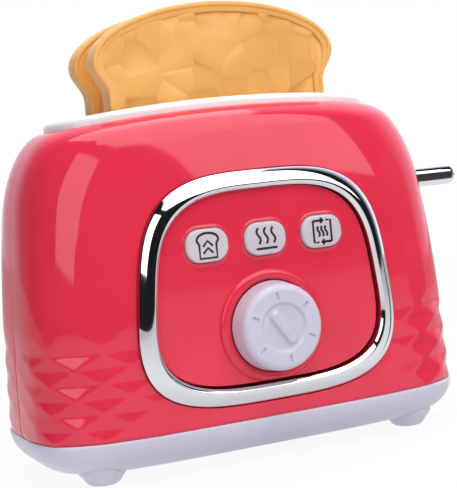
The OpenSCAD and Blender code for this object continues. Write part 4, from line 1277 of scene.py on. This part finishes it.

# %% [markdown]
# Behind the toy everything is white: the table runs back into a bright backdrop with no line between
# them. What the camera sees and what the toy mirrors are set apart: a ray from the camera meets white
# with a faint shadow near the toy, and every other ray meets a painted glow that changes with the
# distance: painted shade under the toy, painted light brightest a little way out and dimmer far off.

# %% The table
TABLE = ((-2.5, -0.75, 0), (2.5, -0.75, 0), (2.5, 3.0, 0), (-2.5, 3.0, 0))
TABLE_LOOK = {"Base Color": (0.86, 0.86, 0.87, 1), "Roughness": 0.9}
# painted light on the table: a glow by distance, dim under the toy as a painted shadow, brightest a little
# way out, dimmer far off
TABLE_PAINTED_GLOW = ((0.0, 0.55), (0.06, 0.7), (0.13, 0.9), (0.5, 0.7), (0.9, 0.52))
TABLE_TINT = (1, 1, 1.03)
TABLE_SHADOW = 0.1
SHADOW_REACH = (0.12, 0.45)


def tinted(stops, tint):
    return [(position, [value * share for share in tint]) for position, value in stops]


material, tree, bsdf = shader("white_table")
set_values(bsdf, TABLE_LOOK)
place = add_node(tree, "ShaderNodeTexCoord")
reach = add_node(tree, "ShaderNodeVectorMath")
reach.operation = "LENGTH"
# this ramp paints the table's glow for every ray but the camera's: painted shade under the toy, painted
# light around it
glow = add_ramp(tree, tinted(TABLE_PAINTED_GLOW, TABLE_TINT))
fade = add_node(tree, "ShaderNodeMapRange", {"From Min": SHADOW_REACH[0], "From Max": SHADOW_REACH[1],
                                             "To Min": TABLE_SHADOW, "To Max": 0.0})
lit = add_node(tree, "ShaderNodeEmission")
seen = add_node(tree, "ShaderNodeEmission")
shadow = add_node(tree, "ShaderNodeMixShader")
path = add_node(tree, "ShaderNodeLightPath")
pick = add_node(tree, "ShaderNodeMixShader")
wire(tree, (place, "Object", reach, 0), (reach, "Value", glow, "Fac"), (reach, "Value", fade, "Value"),
     (glow, "Color", lit, "Color"), (fade, "Result", shadow, "Fac"), (seen, "Emission", shadow, 1),
     (bsdf, "BSDF", shadow, 2), (path, "Is Camera Ray", pick, "Fac"), (lit, "Emission", pick, 1),
     (shadow, "Shader", pick, 2), (pick, "Shader", tree.nodes["Material Output"], "Surface"))
table = stage_sheet("table", TABLE, material)
print("made:", table.name)

# %% [markdown]
# The surroundings change with the bearing, the compass direction in which a ray leaves: bright behind
# the toy, dark in front. A black flag beside the lever gives the chrome something dark to mirror.

# %% The surroundings
FLAG = ((106, -66, 0), (270, -66, 0), (270, -66, 146), (106, -66, 146))
BACKDROP = ((0.34, 0.015), (0.364, 0.12), (0.422, 0.32), (0.458, 0.75), (0.486, 1.0), (0.556, 1.1),
            (0.683, 1.5), (0.747, 0.95), (0.785, 0.3), (0.81, 0.015))
BACKDROP_TINT = (0.86, 0.87, 1)

flag = stage_sheet("black_flag", [in_frame(p) for p in FLAG], ink)
flag.visible_camera = False
flag.visible_diffuse = False
flag.visible_shadow = False

world = bpy.data.worlds.new("studio")
bpy.context.scene.world = world
world.use_nodes = True
tree = world.node_tree
tree.nodes.clear()
place = add_node(tree, "ShaderNodeTexCoord")
split = add_node(tree, "ShaderNodeSeparateXYZ")
bearing = add_node(tree, "ShaderNodeMath")
bearing.operation = "ARCTAN2"
share = add_node(tree, "ShaderNodeMapRange", {"From Min": -pi, "From Max": pi})
ramp = add_ramp(tree, tinted(BACKDROP, BACKDROP_TINT))
path = add_node(tree, "ShaderNodeLightPath")
around = add_node(tree, "ShaderNodeBackground")
seen = add_node(tree, "ShaderNodeBackground", {"Color": (1, 1, 1, 1)})
mix = add_node(tree, "ShaderNodeMixShader")
out = add_node(tree, "ShaderNodeOutputWorld")
wire(tree, (place, "Generated", split, "Vector"), (split, "X", bearing, 0), (split, "Y", bearing, 1),
     (bearing, "Value", share, "Value"), (share, "Result", ramp, "Fac"), (ramp, "Color", around, "Color"),
     (path, "Is Camera Ray", mix, "Fac"), (around, "Background", mix, 1), (seen, "Background", mix, 2),
     (mix, "Shader", out, "Surface"))
bpy.context.scene.view_settings.view_transform = "Standard"
print("stops of the backdrop:", len(BACKDROP))
